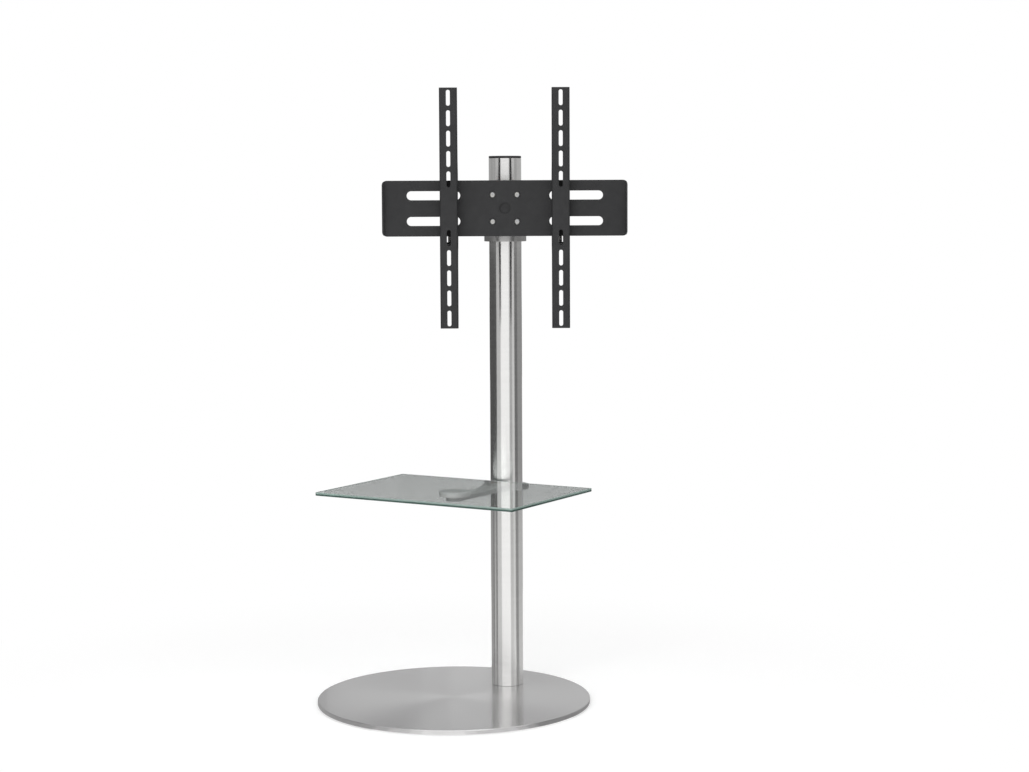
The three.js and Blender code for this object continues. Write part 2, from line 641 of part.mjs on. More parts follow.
const FRICTION_WASHER = 1.8;
const FRICTION_WASHER_RADIUS = 17;
const PLAIN_WASHER = 2;
const PLAIN_WASHER_RADIUS = 12;
const AXLE_HEAD_WIDTH = 17;
const AXLE_HEAD_HEIGHT = 6.4;
const SPACER_WALL = 3.5;
const TILT_OUTSIDE = YOKE_INSIDE - FRICTION_WASHER - 2 * SEAT_GAP;
const TILT_SHEET = 4;
const TILT_KNOB = {
  lobes: 5,
  diameter: 40,
  dip: 5,
  gripHeight: 14,
  hub: 18,
  hubHeight: 9,
  bore: 2 * (AXLE_RADIUS + FIT_GAP),
  boreDepth: 17,
  bevel: 2,
};

const tiltGroup = new THREE.Group();
tiltGroup.position.set(0, -AXLE_REACH, 0);
headGroup.add(tiltGroup);

function washer(radius, from, thickness) {
  const hole = rodX(AXLE_RADIUS + FIT_GAP, from - CUT_OVERRUN, from + thickness + CUT_OVERRUN);
  return cut(rodX(radius, from, from + thickness), hole);
}

function addAxle() {
  const outside = YOKE_WIDTH / 2;
  const plainFrom = outside + SEAT_GAP;
  const clampFace = plainFrom + PLAIN_WASHER + SEAT_GAP;
  const end = clampFace + TILT_KNOB.boreDepth - SEAT_GAP;
  const headRadius = AXLE_HEAD_WIDTH / (2 * Math.cos(Math.PI / HEX_SIDES));
  const head = rodX(headRadius, -clampFace - AXLE_HEAD_HEIGHT, -clampFace, 0, 0, HEX_SIDES);
  const axle = join(head, rodX(AXLE_RADIUS, -clampFace - AXLE_HEAD_HEIGHT / 2, end));
  const atAxle = [0, -AXLE_REACH, 0];
  piece(headGroup, 'tilt_axle', axle, zincSteel, atAxle);
  const plain = washer(PLAIN_WASHER_RADIUS, plainFrom, PLAIN_WASHER);
  piece(headGroup, 'axle_washer_right', plain, zincSteel, atAxle);
  piece(headGroup, 'axle_washer_left', plain.mirror([1, 0, 0]), zincSteel, atAxle);
  const friction = washer(FRICTION_WASHER_RADIUS, TILT_OUTSIDE + SEAT_GAP, FRICTION_WASHER);
  piece(headGroup, 'friction_washer_right', friction, brownFibre, atAxle);
  piece(headGroup, 'friction_washer_left', friction.mirror([1, 0, 0]), brownFibre, atAxle);
  const knobPlace = [clampFace, -AXLE_REACH, 0];
  piece(headGroup, 'tilt_knob', starKnob(TILT_KNOB), blackPlastic, knobPlace, [0, Math.PI / 2, 0]);

  const spacerEnd = TILT_OUTSIDE - TILT_SHEET - SEAT_GAP;
  const spacerBore = rodX(AXLE_RADIUS + FIT_GAP, -spacerEnd - CUT_OVERRUN, spacerEnd + CUT_OVERRUN);
  const spacer = rodX(AXLE_RADIUS + FIT_GAP + SPACER_WALL, -spacerEnd, spacerEnd);
  piece(tiltGroup, 'axle_spacer', cut(spacer, spacerBore), zincSteel);
}

// The tilt bracket, hung on the axle, and the cross plate on its web; places are measured from the axle

const TILT_WEB_FACE = -32;
const TILT_WEB_HEIGHT = 74;
const TILT_SHOULDER = 9;
const TILT_OUTER_BEND = 6;
const PLATE_SHEET = 3;
const PLATE_SCREW_SPREAD = 44;
const PLATE_SCREW_RISE = 48;
const PLATE_SCREW_LENGTH = 11;
const PLATE_BACK = TILT_WEB_FACE - SEAT_GAP;
const PLATE_FACE = PLATE_BACK - PLATE_SHEET;
const PLATE_LIP = 10;
const PLATE_LIP_BEND = 5;
const PLATE_CORNER = 8;
const PLATE_WINDOW_START = 80;
const PLATE_WINDOW_MARGIN = 44;
const PLATE_WINDOW_HEIGHT = 16;
const PLATE_WINDOW_RISE = 46;
const PLATE_CENTRE_HOLE = 20;

function plateScrewPlaces() {
  const places = [];
  for (const side of [-1, 1]) {
    for (const level of [-1, 1]) {
      places.push([side * PLATE_SCREW_SPREAD / 2, level * PLATE_SCREW_RISE / 2]);
    }
  }
  return places;
}

function plateScrewHoles(from, to) {
  const radius = M6_BUTTON.thread / 2 + FIT_GAP;
  return plateScrewPlaces().map(([x, z]) => rodY(radius, from, to, x, z, SCREW_SIDES));
}

function tiltSide() {
  const nose = new THREE.Vector2(GUIDE_REACH, 0);
  const half = TILT_WEB_HEIGHT / 2;
  const shoulder = TILT_WEB_FACE + TILT_SHOULDER;
  const touch = tangentAngle(new THREE.Vector2(shoulder, half), nose, TILT_NOSE_RADIUS, -1);
  const shape = new THREE.Shape();
  shape.moveTo(TILT_WEB_FACE - CUT_OVERRUN, half);
  shape.lineTo(TILT_WEB_FACE - CUT_OVERRUN, -half);
  shape.lineTo(shoulder, -half);
  shape.absarc(nose.x, nose.y, TILT_NOSE_RADIUS, -touch, touch);
  shape.lineTo(shoulder, half);
  return shape;
}

function addTiltBracket() {
  const half = TILT_WEB_HEIGHT / 2;
  const reach = TILT_OUTSIDE + CUT_OVERRUN;
  const open = GUIDE_REACH + TILT_NOSE_RADIUS + CUT_OVERRUN;
  const outline = channelOutline(TILT_OUTSIDE, TILT_SHEET, TILT_OUTER_BEND, TILT_WEB_FACE, open);
  const channel = prismZ(outline, -half, half).intersect(prismX(tiltSide(), -reach, reach, LONG_ARC));
  const axleHole = rodX(AXLE_RADIUS + FIT_GAP, -reach, reach);
  const guideHole = rodX(M6_BUTTON.thread / 2 + FIT_GAP, -reach, reach, GUIDE_REACH, 0, SCREW_SIDES);
  const screwHoles = plateScrewHoles(TILT_WEB_FACE - CUT_OVERRUN, TILT_WEB_FACE + TILT_SHEET + CUT_OVERRUN);
  piece(tiltGroup, 'tilt_bracket', cut(channel, axleHole, guideHole, ...screwHoles), blackPaint);
  for (const [name, side] of [['left', -1], ['right', 1]]) {
    const place = [side * (YOKE_WIDTH / 2 + SEAT_GAP), GUIDE_REACH, 0];
    const screw = buttonScrew(M6_BUTTON, GUIDE_SCREW_LENGTH);
    piece(tiltGroup, `tilt_guide_screw_${name}`, screw, zincSteel, place, [0, side * Math.PI / 2, 0]);
  }
}

function addCrossPlate() {
  const half = CROSS_PLATE_WIDTH / 2;
  const halfHeight = CROSS_PLATE_HEIGHT / 2;
  const outline = channelOutline(half, PLATE_SHEET, PLATE_LIP_BEND, PLATE_BACK, PLATE_FACE - PLATE_LIP);
  const face = roundedRectangle(CROSS_PLATE_WIDTH, CROSS_PLATE_HEIGHT, PLATE_CORNER);
  const plateDepth = [PLATE_FACE - PLATE_LIP - CUT_OVERRUN, PLATE_BACK + CUT_OVERRUN];
  const sheet = prismZ(outline, -halfHeight, halfHeight).intersect(prismY(face, ...plateDepth));
  const windowEnd = half - PLATE_WINDOW_MARGIN;
  const windowWidth = windowEnd - PLATE_WINDOW_START;
  const windows = [];
  for (const side of [-1, 1]) {
    for (const level of [-1, 1]) {
      const centre = [side * (PLATE_WINDOW_START + windowEnd) / 2, level * PLATE_WINDOW_RISE / 2];
      windows.push(prismY(oblong(windowWidth, PLATE_WINDOW_HEIGHT, ...centre), ...plateDepth, TINY_ARC));
    }
  }
  const centreHole = rodY(PLATE_CENTRE_HOLE / 2, ...plateDepth);
  const plate = cut(sheet, centreHole, ...windows, ...plateScrewHoles(...plateDepth));
  piece(tiltGroup, 'cross_plate', plate, blackPaint);
  plateScrewPlaces().forEach(([x, z], i) => {
    const screw = buttonScrew(M6_BUTTON, PLATE_SCREW_LENGTH);
    const place = [x, PLATE_FACE - SEAT_GAP, z];
    piece(tiltGroup, `plate_screw_${i + 1}`, screw, zincSteel, place, [Math.PI / 2, 0, 0]);
  });
}

// The two upright arms that bolt to a screen and hook over the cross plate

const ARM_WIDTH = 32;
const ARM_SHEET = 2.5;
const ARM_BEND = 3.5;
const ARM_STANDOFF = 27;
const ARM_FACE = PLATE_FACE - ARM_STANDOFF;
const ARM_END_DEPTH = 14;
const ARM_ROOT_DEPTH = 24;
const ARM_ROOT_HEIGHT = 84;
const HOOK_DEPTH = 8;
const HOOK_DROP = 10;
const HOOK_BACK = 12;
const FOOT_HEIGHT = 13;
const FOOT_BACK = 20;
const ARM_SLOT_WIDTH = 7;
const ARM_SLOT_BRIDGE = 8;
const ARM_SLOTS_FROM = 34;
const ARM_SLOT_COUNT = 5;
const LOCK_SCREW_DIAMETER = 6;
const LOCK_SCREW_HEAD = 16;
const LOCK_SCREW_HEAD_HEIGHT = 10;
const LOCK_SCREW_RISE = 8;
const LOCK_SCREW_RIDGES = 20;
const LOCK_SCREW_RIDGE = 0.6;

function armSide() {
  const end = ARM_LENGTH / 2;
  const top = CROSS_PLATE_HEIGHT / 2 + SEAT_GAP;
  const plateSide = PLATE_FACE - SEAT_GAP;
  const hookSide = PLATE_BACK + SEAT_GAP;
  const shape = new THREE.Shape();
  shape.moveTo(ARM_FACE, -end);
  shape.lineTo(ARM_FACE + ARM_END_DEPTH, -end);
  shape.lineTo(ARM_FACE + ARM_ROOT_DEPTH, -ARM_ROOT_HEIGHT);
  shape.lineTo(PLATE_BACK + FOOT_BACK - HOOK_DEPTH, -top - FOOT_HEIGHT);
  shape.lineTo(PLATE_BACK + FOOT_BACK - HOOK_DEPTH, -top);
  shape.lineTo(plateSide, -top);
  shape.lineTo(plateSide, top);
  shape.lineTo(hookSide, top);
  shape.lineTo(hookSide, top - HOOK_DROP);
  shape.lineTo(hookSide + HOOK_DEPTH, top - HOOK_DROP);
  shape.lineTo(hookSide + HOOK_DEPTH, top + HOOK_BACK);
  shape.lineTo(ARM_FACE + ARM_ROOT_DEPTH, ARM_ROOT_HEIGHT);
  shape.lineTo(ARM_FACE + ARM_END_DEPTH, end);
  shape.lineTo(ARM_FACE, end);
  return shape;
}

const LOCK_SCREW_PLACE = PLATE_BACK + (FOOT_BACK - HOOK_DEPTH) / 2;
const FOOT_BOTTOM = -(CROSS_PLATE_HEIGHT / 2 + SEAT_GAP + FOOT_HEIGHT);

function armSolid() {
  const end = ARM_LENGTH / 2;
  const half = ARM_WIDTH / 2;
  const flange = prismX(armSide(), 0, ARM_SHEET);
  const web = block([-half, half], [ARM_FACE, ARM_FACE + ARM_SHEET], [-end, end]);
  const tab = block(
    [-half, half],
    [PLATE_BACK, PLATE_BACK + FOOT_BACK - HOOK_DEPTH],
    [FOOT_BOTTOM, FOOT_BOTTOM + ARM_SHEET],
  );
  const whole = join(web, flange.translate([-half, 0, 0]), flange.translate([half - ARM_SHEET, 0, 0]), tab);
  const depth = PLATE_BACK + FOOT_BACK - ARM_FACE + 2 * ARM_BEND;
  const plan = roundedRectangle(ARM_WIDTH, depth, ARM_BEND, 0, ARM_FACE + depth / 2);
  const rounded = whole.intersect(prismZ(plan, -end - CUT_OVERRUN, end + CUT_OVERRUN, TINY_ARC));
  const slotPitch = (end - ARM_SLOTS_FROM) / ARM_SLOT_COUNT;
  const slots = [];
  for (const level of [-1, 1]) {
    for (let i = 0; i < ARM_SLOT_COUNT; i += 1) {
      const height = level * (ARM_SLOTS_FROM + (i + 0.5) * slotPitch);
      const outline = oblong(ARM_SLOT_WIDTH, slotPitch - ARM_SLOT_BRIDGE, 0, height);
      slots.push(prismY(outline, ARM_FACE - CUT_OVERRUN, ARM_FACE + ARM_SHEET + CUT_OVERRUN, TINY_ARC));
    }
  }
  const tabSpan = [FOOT_BOTTOM - CUT_OVERRUN, FOOT_BOTTOM + ARM_SHEET + CUT_OVERRUN];
  const screwHole = rodZ(LOCK_SCREW_DIAMETER / 2 + FIT_GAP, ...tabSpan, 0, LOCK_SCREW_PLACE, SCREW_SIDES);
  return cut(rounded, screwHole, ...slots);
}

function lockScrew() {
  const count = 2 * LOCK_SCREW_RIDGES;
  const outline = Array.from({ length: count }, (_, i) => {
    const angle = (2 * Math.PI * i) / count;
    const radius = LOCK_SCREW_HEAD / 2 - (i % 2) * LOCK_SCREW_RIDGE;
    return new THREE.Vector2(radius * Math.cos(angle), radius * Math.sin(angle));
  });
  const top = -CROSS_PLATE_HEIGHT / 2 + LOCK_SCREW_RISE;
  const headTop = FOOT_BOTTOM - SEAT_GAP;
  const head = prismZ(new THREE.Shape(outline), headTop - LOCK_SCREW_HEAD_HEIGHT, headTop);
  const shank = rodZ(LOCK_SCREW_DIAMETER / 2, headTop - LOCK_SCREW_HEAD_HEIGHT / 2, top, 0, 0, SCREW_SIDES);
  return join(head, shank);
}

function addArms() {
  for (const [name, side] of [['left', -1], ['right', 1]]) {
    const x = side * ARM_SPACING / 2;
    piece(tiltGroup, `${name}_arm`, armSolid(), blackPaint, [x, 0, 0]);
    piece(tiltGroup, `${name}_arm_lock_screw`, lockScrew(), zincSteel, [x, LOCK_SCREW_PLACE, 0]);
  }
}

// The shelf: a two-part clamp on a nylon liner, an arm, a bonded disc and the glass

const LINER_WALL = 1.5;
const LINER_BORE = TUBE_RADIUS + FIT_GAP;
const LINER_RADIUS = LINER_BORE + LINER_WALL;
const CLAMP_BORE = LINER_RADIUS + FIT_GAP;
const CLAMP_WALL = 9.9;
const CLAMP_RADIUS = CLAMP_BORE + CLAMP_WALL;
const CLAMP_HEIGHT = 12.2;
const CLAMP_SPLIT = 1.5;
const CLAMP_SCREW_LENGTH = 22;
const CLAMP_HEAD_FACE = 8;
const SHELF_ARM_THICKNESS = 8;
const SHELF_ARM_WIDTH = 30;
const SHELF_ARM_SPREAD = 36;
const SHELF_ARM_RAMP = 34;
const SHELF_ARM_FLARE = 40;
const FLARE_ROOT_ANGLE = 30;
const DISC_DIAMETER = 55;
const DISC_HEIGHT = 9;
const DISC_CHAMFER = 0.8;
const DISC_FLOOR = 1.5;
const GLASS_CORNER = 3;
const GLASS_BEVEL = 0.8;
const SHELF_SCREW_SINK = 0.4;
const SHELF_CENTRE = -(TUBE_RADIUS + SHELF_BEHIND_GAP + SHELF_DEPTH / 2);
const DISC_TOP = SHELF_TOP - GLASS_THICKNESS - SEAT_GAP;
const DISC_FOOT = DISC_TOP - DISC_HEIGHT;
const SHELF_ARM_TOP = DISC_FOOT - SEAT_GAP;
const CLAMP_FOOT = SHELF_ARM_TOP - SHELF_ARM_THICKNESS;
const CLAMP_TOP = CLAMP_FOOT + CLAMP_HEIGHT;
const CLAMP_MIDDLE = (CLAMP_FOOT + CLAMP_TOP) / 2;
const CLAMP_SCREW_LINE = (CLAMP_BORE + CLAMP_RADIUS) / 2;

const shelfGroup = new THREE.Group();
shelfGroup.position.set(0, COLUMN_SETBACK, 0);
shelfGroup.rotation.z = radians(SHELF_TURN);
stand.add(shelfGroup);

function shelfArmPlan() {
  // A straight bar with a round end under the disc, which flares out to the clamp ring in a hollow curve.
  const half = SHELF_ARM_WIDTH / 2;
  const spread = SHELF_ARM_SPREAD / 2;
  const flareStart = -CLAMP_RADIUS - SHELF_ARM_FLARE;
  const rootAngle = radians(FLARE_ROOT_ANGLE);
  const root = [CLAMP_RADIUS * Math.cos(rootAngle), -CLAMP_RADIUS * Math.sin(rootAngle)];
  const shape = new THREE.Shape();
  shape.absarc(0, SHELF_CENTRE, half, Math.PI, 2 * Math.PI);
  shape.lineTo(spread, flareStart);
  shape.quadraticCurveTo(spread, -CLAMP_RADIUS, ...root);
  shape.lineTo(0, 0);
  shape.lineTo(-root[0], root[1]);
  shape.quadraticCurveTo(-spread, -CLAMP_RADIUS, -spread, flareStart);
  return shape;
}

function shelfArmSide() {
  const end = SHELF_CENTRE - SHELF_ARM_WIDTH;
  const shape = new THREE.Shape();
  shape.moveTo(end, CLAMP_FOOT);
  shape.lineTo(CLAMP_RADIUS, CLAMP_FOOT);
  shape.lineTo(CLAMP_RADIUS, CLAMP_TOP);
  shape.lineTo(-CLAMP_RADIUS + CLAMP_WALL / 2, CLAMP_TOP);
  shape.lineTo(-CLAMP_RADIUS - SHELF_ARM_RAMP, SHELF_ARM_TOP);
  shape.lineTo(end, SHELF_ARM_TOP);
  return shape;
}

function clampScrewCuts() {
  const tip = CLAMP_HEAD_FACE - CLAMP_SCREW_LENGTH - CUT_OVERRUN;
  const shankRadius = M4_CAP.thread / 2 + FIT_GAP;
  const headRadius = M4_CAP.head / 2 + FIT_GAP;
  return [-CLAMP_SCREW_LINE, CLAMP_SCREW_LINE].flatMap((x) => [
    rodY(shankRadius, tip, CLAMP_HEAD_FACE, x, CLAMP_MIDDLE, SCREW_SIDES),
    rodY(headRadius, CLAMP_HEAD_FACE - SEAT_GAP, CLAMP_RADIUS, x, CLAMP_MIDDLE, SCREW_SIDES),
  ]);
}

function addShelfClamp() {
  const reach = CLAMP_RADIUS + CUT_OVERRUN;
  const span = [CLAMP_FOOT - CUT_OVERRUN, CLAMP_TOP + CUT_OVERRUN];
  const wall = ring(CLAMP_RADIUS, CLAMP_BORE, CLAMP_FOOT, CLAMP_TOP);
  const rearHalf = block([-reach, reach], [CLAMP_SPLIT / 2, reach], span);
  const frontHalf = block([-reach, reach], [-reach, -CLAMP_SPLIT / 2], span);
  const bore = rodZ(CLAMP_BORE, ...span, 0, 0, RING_SIDES);
  const armPlan = prismZ(shelfArmPlan(), CLAMP_FOOT, CLAMP_TOP, LONG_ARC);
  const arm = armPlan.intersect(prismX(shelfArmSide(), -reach, reach));
  const sink = M8_BUTTON.height + SHELF_SCREW_SINK;
  const screwHole = join(
    rodZ(M8_BUTTON.thread / 2 + FIT_GAP, span[0], span[1], 0, SHELF_CENTRE, SCREW_SIDES),
    rodZ(M8_BUTTON.head / 2 + FIT_GAP, span[0], CLAMP_FOOT + sink, 0, SHELF_CENTRE),
  );
  const front = cut(join(wall.intersect(frontHalf), arm), bore, screwHole, ...clampScrewCuts());
  piece(shelfGroup, 'shelf_bracket', front, brushedSteel);
  piece(shelfGroup, 'shelf_clamp_rear', cut(wall.intersect(rearHalf), ...clampScrewCuts()), brushedSteel);

  const liner = ring(LINER_RADIUS, LINER_BORE, CLAMP_FOOT, CLAMP_TOP);
  piece(shelfGroup, 'shelf_liner', liner, paleNylon);
  for (const [name, side] of [['left', -1], ['right', 1]]) {
    const place = [side * CLAMP_SCREW_LINE, CLAMP_HEAD_FACE, CLAMP_MIDDLE];
    const screw = capScrew(M4_CAP, CLAMP_SCREW_LENGTH);
    piece(shelfGroup, `clamp_screw_${name}`, screw, zincSteel, place, [-Math.PI / 2, 0, 0]);
  }
}

function addShelf() {
  const radius = DISC_DIAMETER / 2;
  const disc = revolve([
    [0, DISC_FOOT], [radius - DISC_CHAMFER, DISC_FOOT], [radius, DISC_FOOT + DISC_CHAMFER],
    [radius, DISC_TOP - DISC_CHAMFER], [radius - DISC_CHAMFER, DISC_TOP], [0, DISC_TOP],
  ], RING_SIDES);
  const threadRadius = M8_BUTTON.thread / 2 + FIT_GAP;
  const threadTop = DISC_TOP - DISC_FLOOR;
  const thread = rodZ(threadRadius, DISC_FOOT - CUT_OVERRUN, threadTop, 0, 0, SCREW_SIDES);
  piece(shelfGroup, 'shelf_disc', cut(disc, thread), brushedSteel, [0, SHELF_CENTRE, 0]);

  const headFace = CLAMP_FOOT + M8_BUTTON.height + SHELF_SCREW_SINK - SEAT_GAP;
  const length = threadTop - SEAT_GAP - headFace;
  const screwPlace = [0, SHELF_CENTRE, headFace];
  piece(shelfGroup, 'shelf_screw', buttonScrew(M8_BUTTON, length), zincSteel, screwPlace, [Math.PI, 0, 0]);

  const outline = roundedRectangle(SHELF_WIDTH, SHELF_DEPTH, GLASS_CORNER);
  const glass = prismZ(outline, SHELF_TOP - GLASS_THICKNESS, SHELF_TOP, TINY_ARC, GLASS_BEVEL);
  piece(shelfGroup, 'shelf_glass', glass, shelfGlass, [0, SHELF_CENTRE, 0]);
}

addBase();
addColumn();
supportRing();
addCollar();
addSwivelLock();
addYoke();
addAxle();
addTiltBracket();
addCrossPlate();
addArms();
addShelfClamp();
addShelf();

export default stand;
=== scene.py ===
import json
import math

import bmesh
import bpy
from mathutils import Matrix, Vector

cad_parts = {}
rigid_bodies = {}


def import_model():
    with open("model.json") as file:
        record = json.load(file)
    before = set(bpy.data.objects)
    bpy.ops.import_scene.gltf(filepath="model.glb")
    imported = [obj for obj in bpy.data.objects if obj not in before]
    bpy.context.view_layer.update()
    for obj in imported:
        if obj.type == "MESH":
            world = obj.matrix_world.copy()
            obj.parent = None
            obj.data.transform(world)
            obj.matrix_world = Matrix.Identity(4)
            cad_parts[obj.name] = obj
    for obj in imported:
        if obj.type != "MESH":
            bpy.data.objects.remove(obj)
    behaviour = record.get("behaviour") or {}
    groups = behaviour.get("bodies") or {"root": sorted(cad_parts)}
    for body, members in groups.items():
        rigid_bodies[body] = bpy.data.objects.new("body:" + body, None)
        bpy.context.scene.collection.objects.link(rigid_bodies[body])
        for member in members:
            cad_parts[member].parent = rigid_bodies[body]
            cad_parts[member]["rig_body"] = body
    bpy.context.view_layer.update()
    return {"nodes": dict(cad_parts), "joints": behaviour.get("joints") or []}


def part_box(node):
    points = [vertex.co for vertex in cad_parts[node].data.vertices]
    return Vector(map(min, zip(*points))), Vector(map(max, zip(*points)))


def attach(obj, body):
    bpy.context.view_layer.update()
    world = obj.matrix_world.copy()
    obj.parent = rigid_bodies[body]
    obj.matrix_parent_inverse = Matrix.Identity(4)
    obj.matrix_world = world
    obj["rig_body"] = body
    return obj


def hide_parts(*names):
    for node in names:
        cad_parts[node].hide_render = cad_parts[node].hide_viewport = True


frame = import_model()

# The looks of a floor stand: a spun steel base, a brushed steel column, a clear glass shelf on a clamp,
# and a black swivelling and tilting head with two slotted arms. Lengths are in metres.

nodes = frame["nodes"]
joints = {joint["name"]: joint for joint in frame["joints"]}
MM = 0.001

# Local frames of the column, the head, the tilting part and the shelf, worked out from the joints


def turned_frame(place, angle):
    return Matrix.Translation(place) @ Matrix.Rotation(angle, 4, "Z")


swivel_place = Vector(joints["head_swivel"]["pos_m"])
tilt_place = Vector(joints["head_tilt"]["pos_m"])
tilt_axis = Vector(joints["head_tilt"]["axis"])
head_angle = math.atan2(tilt_axis.y, tilt_axis.x)
column_place = Vector((swivel_place.x, swivel_place.y, 0))
disc_low, disc_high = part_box("shelf_disc")
shelf_way = (disc_low + disc_high) / 2 - column_place
shelf_angle = math.atan2(shelf_way.x, -shelf_way.y)

STAND = Matrix.Identity(4)
COLUMN = turned_frame(column_place, 0)
HEAD = turned_frame(swivel_place, head_angle)
TILT = turned_frame(tilt_place, head_angle)
SHELF = turned_frame(column_place, shelf_angle)


def span(node, place):
    """Lowest and highest corner of a node at rest, measured along a local frame's own axes."""
    inverse = place.inverted()
    axes = list(zip(*(inverse @ vertex.co for vertex in nodes[node].data.vertices)))
    return Vector(min(values) for values in axes), Vector(max(values) for values in axes)


# Fineness of the made pieces

FINE_SIDES = 256
KNOB_SIDES = 180
ROUND_SIDES = 96
SCREW_SIDES = 48
SLOT_STEPS = 16
GUIDE_STEPS = 12
CORNER_STEPS = 8
KNOB_STEPS = 6
FILLET_STEPS = 4
RING_STEPS = 3
EDGE_STEPS = 2
WIDE_EDGE_STEPS = 3
ROUND_PROFILE = 0.5
SMOOTH_ANGLE = math.radians(32)
SHARP_ANGLE = math.radians(34)
FLAT_ANGLE = math.radians(0.6)
STRAIGHT_ANGLE = 0.001
AREA_WEIGHT = 100
WELD_DISTANCE = 0.004 * MM
SAME_PLACE = 0.0001 * MM
ON_AXIS = 0.000001 * MM

# Roundings of edges, and the gap between parts that fit into each other

TINY_EDGE = 0.2 * MM
FINE_EDGE = 0.3 * MM
SMALL_EDGE = 0.4 * MM
MIDDLE_EDGE = 0.5 * MM
SOFT_EDGE = 0.6 * MM
ROUND_EDGE = 0.8 * MM
FIT_GAP = 0.3 * MM

# The radius of what goes round the column

TUBE_FIT = span("column_tube", COLUMN)[1].x + FIT_GAP

# Mesh helpers


def add_object(name, data):
    made = bpy.data.objects.new(name, data)
    bpy.context.scene.collection.objects.link(made)
    return made


def new_mesh(name, vertices, faces):
    mesh = bpy.data.meshes.new(name)
    mesh.from_pydata(vertices, [], faces)
    return mesh


def finish_mesh(name, mesh, place):
    """Puts a mesh that is in local coordinates into the row frame, shaded smooth apart from its edges."""
    mesh.transform(place)
    return shaded(add_object(name, mesh))


def shaded(piece):
    """Smooth shading that keeps flat faces flat and sharp edges sharp."""
    piece.data.shade_smooth()
    piece.data.set_sharp_from_angle(angle=SMOOTH_ANGLE)
    even = piece.modifiers.new("even", "WEIGHTED_NORMAL")
    even.keep_sharp = True
    even.weight = AREA_WEIGHT
    return piece


def reworked(mesh, change, source=None):
    """Changes a mesh, or fills it from a changed source."""
    work = bmesh.new()
    work.from_mesh(source or mesh)
    change(work)
    work.to_mesh(mesh)
    work.free()
    return mesh


def outward(work):
    bmesh.ops.recalc_face_normals(work, faces=work.faces)


def weld(work):
    """Joins points that lie together, and removes faces and edges without size."""
    bmesh.ops.remove_doubles(work, verts=work.verts, dist=WELD_DISTANCE)
    bmesh.ops.dissolve_degenerate(work, edges=work.edges, dist=WELD_DISTANCE)


def flatten(work):
    """Joins points that lie together, and makes flat faces whole."""
    bmesh.ops.remove_doubles(work, verts=work.verts, dist=WELD_DISTANCE)
    bmesh.ops.dissolve_limit(work, angle_limit=FLAT_ANGLE, verts=work.verts, edges=work.edges)


def round_off(work, lines, edge, steps=EDGE_STEPS, clamp=False):
    settings = {"segments": steps, "profile": ROUND_PROFILE, "affect": "EDGES", "clamp_overlap": clamp}
    bmesh.ops.bevel(work, geom=lines, offset=edge, **settings)


def filleted(corners, radius, closed=False, steps=FILLET_STEPS):
    """Rounds the corners of a line of (x, y) points, with each radius limited by the sides beside it. A
    corner's third value is a radius of its own."""
    points = [Vector(corner[:2]) for corner in corners]
    last = len(points) - 1
    result = []
    for index, corner in enumerate(points):
        own = corners[index][2] if len(corners[index]) > 2 else radius
        before = points[index - 1] - corner
        after = points[index + 1 if index < last else 0] - corner
        angle = math.pi if not closed and index in (0, last) else before.angle(after)
        if own <= 0 or angle > math.pi - STRAIGHT_ANGLE:
            result.append(tuple(corner))
            continue
        reach = min(own / math.tan(angle / 2), before.length / 2, after.length / 2)
        start = corner + before.normalized() * reach
        end = corner + after.normalized() * reach
        real = reach * math.tan(angle / 2)
        middle = corner + (before.normalized() + after.normalized()).normalized() * real / math.sin(angle / 2)
        first = math.atan2(start.y - middle.y, start.x - middle.x)
        sweep = math.atan2(end.y - middle.y, end.x - middle.x) - first
        sweep = (sweep + math.pi) % (2 * math.pi) - math.pi
        result += arc(middle.x, middle.y, real, first, first + sweep, steps)
    return result


def lathe(name, profile, place, sides=ROUND_SIDES, shape=None):
    """Turns a profile of (radius, height) points about Z. A profile that doesn't touch the axis closes on
    itself. shape(radius, height, angle) may give another radius, for lobes, knurls and threads."""
    rings = []
    vertices = []
    for radius, height in profile:
        if radius < ON_AXIS:
            rings.append([len(vertices)])
            vertices.append((0, 0, height))
            continue
        rings.append(list(range(len(vertices), len(vertices) + sides)))
        for side in range(sides):
            angle = 2 * math.pi * side / sides
            real = shape(radius, height, angle) if shape else radius
            vertices.append((real * math.cos(angle), real * math.sin(angle), height))
    pairs = list(zip(rings, rings[1:]))
    if len(rings[0]) > 1 and len(rings[-1]) > 1:
        pairs.append((rings[-1], rings[0]))
    faces = []
    for lower, upper in pairs:
        for side in range(sides):
            after = (side + 1) % sides
            around_face = ((lower, side), (lower, after), (upper, after), (upper, side))
            face = list(dict.fromkeys(ring[step % len(ring)] for ring, step in around_face))
            if len(face) > 2:
                faces.append(face)
    return finish_mesh(name, reworked(new_mesh(name, vertices, faces), outward), place)


ORDER = {"X": (2, 0, 1), "Y": (0, 2, 1), "Z": (0, 1, 2)}


def prism(name, outline, low, high, place, axis="Z", edge=0):
    """An outline pushed along an axis, with its rims rounded where edge isn't zero. The outline is in
    (x, y) along Z, in (x, z) along Y, and in (y, z) along X."""
    work = bmesh.new()
    rings = []
    for along in (low, high):
        points = [(across, up, along) for across, up in outline]
        ring = [work.verts.new([point[index] for index in ORDER[axis]]) for point in points]
        work.faces.new(ring)
        rings.append(ring)
    for index, corner in enumerate(rings[0]):
        work.faces.new((corner, rings[0][index - 1], rings[1][index - 1], rings[1][index]))
    outward(work)
    if edge:
        rims = [line for line in work.edges if any(set(line.verts) <= set(ring) for ring in rings)]
        round_off(work, rims, edge, WIDE_EDGE_STEPS)
    mesh = bpy.data.meshes.new(name)
    work.to_mesh(mesh)
    work.free()
    return finish_mesh(name, mesh, place)


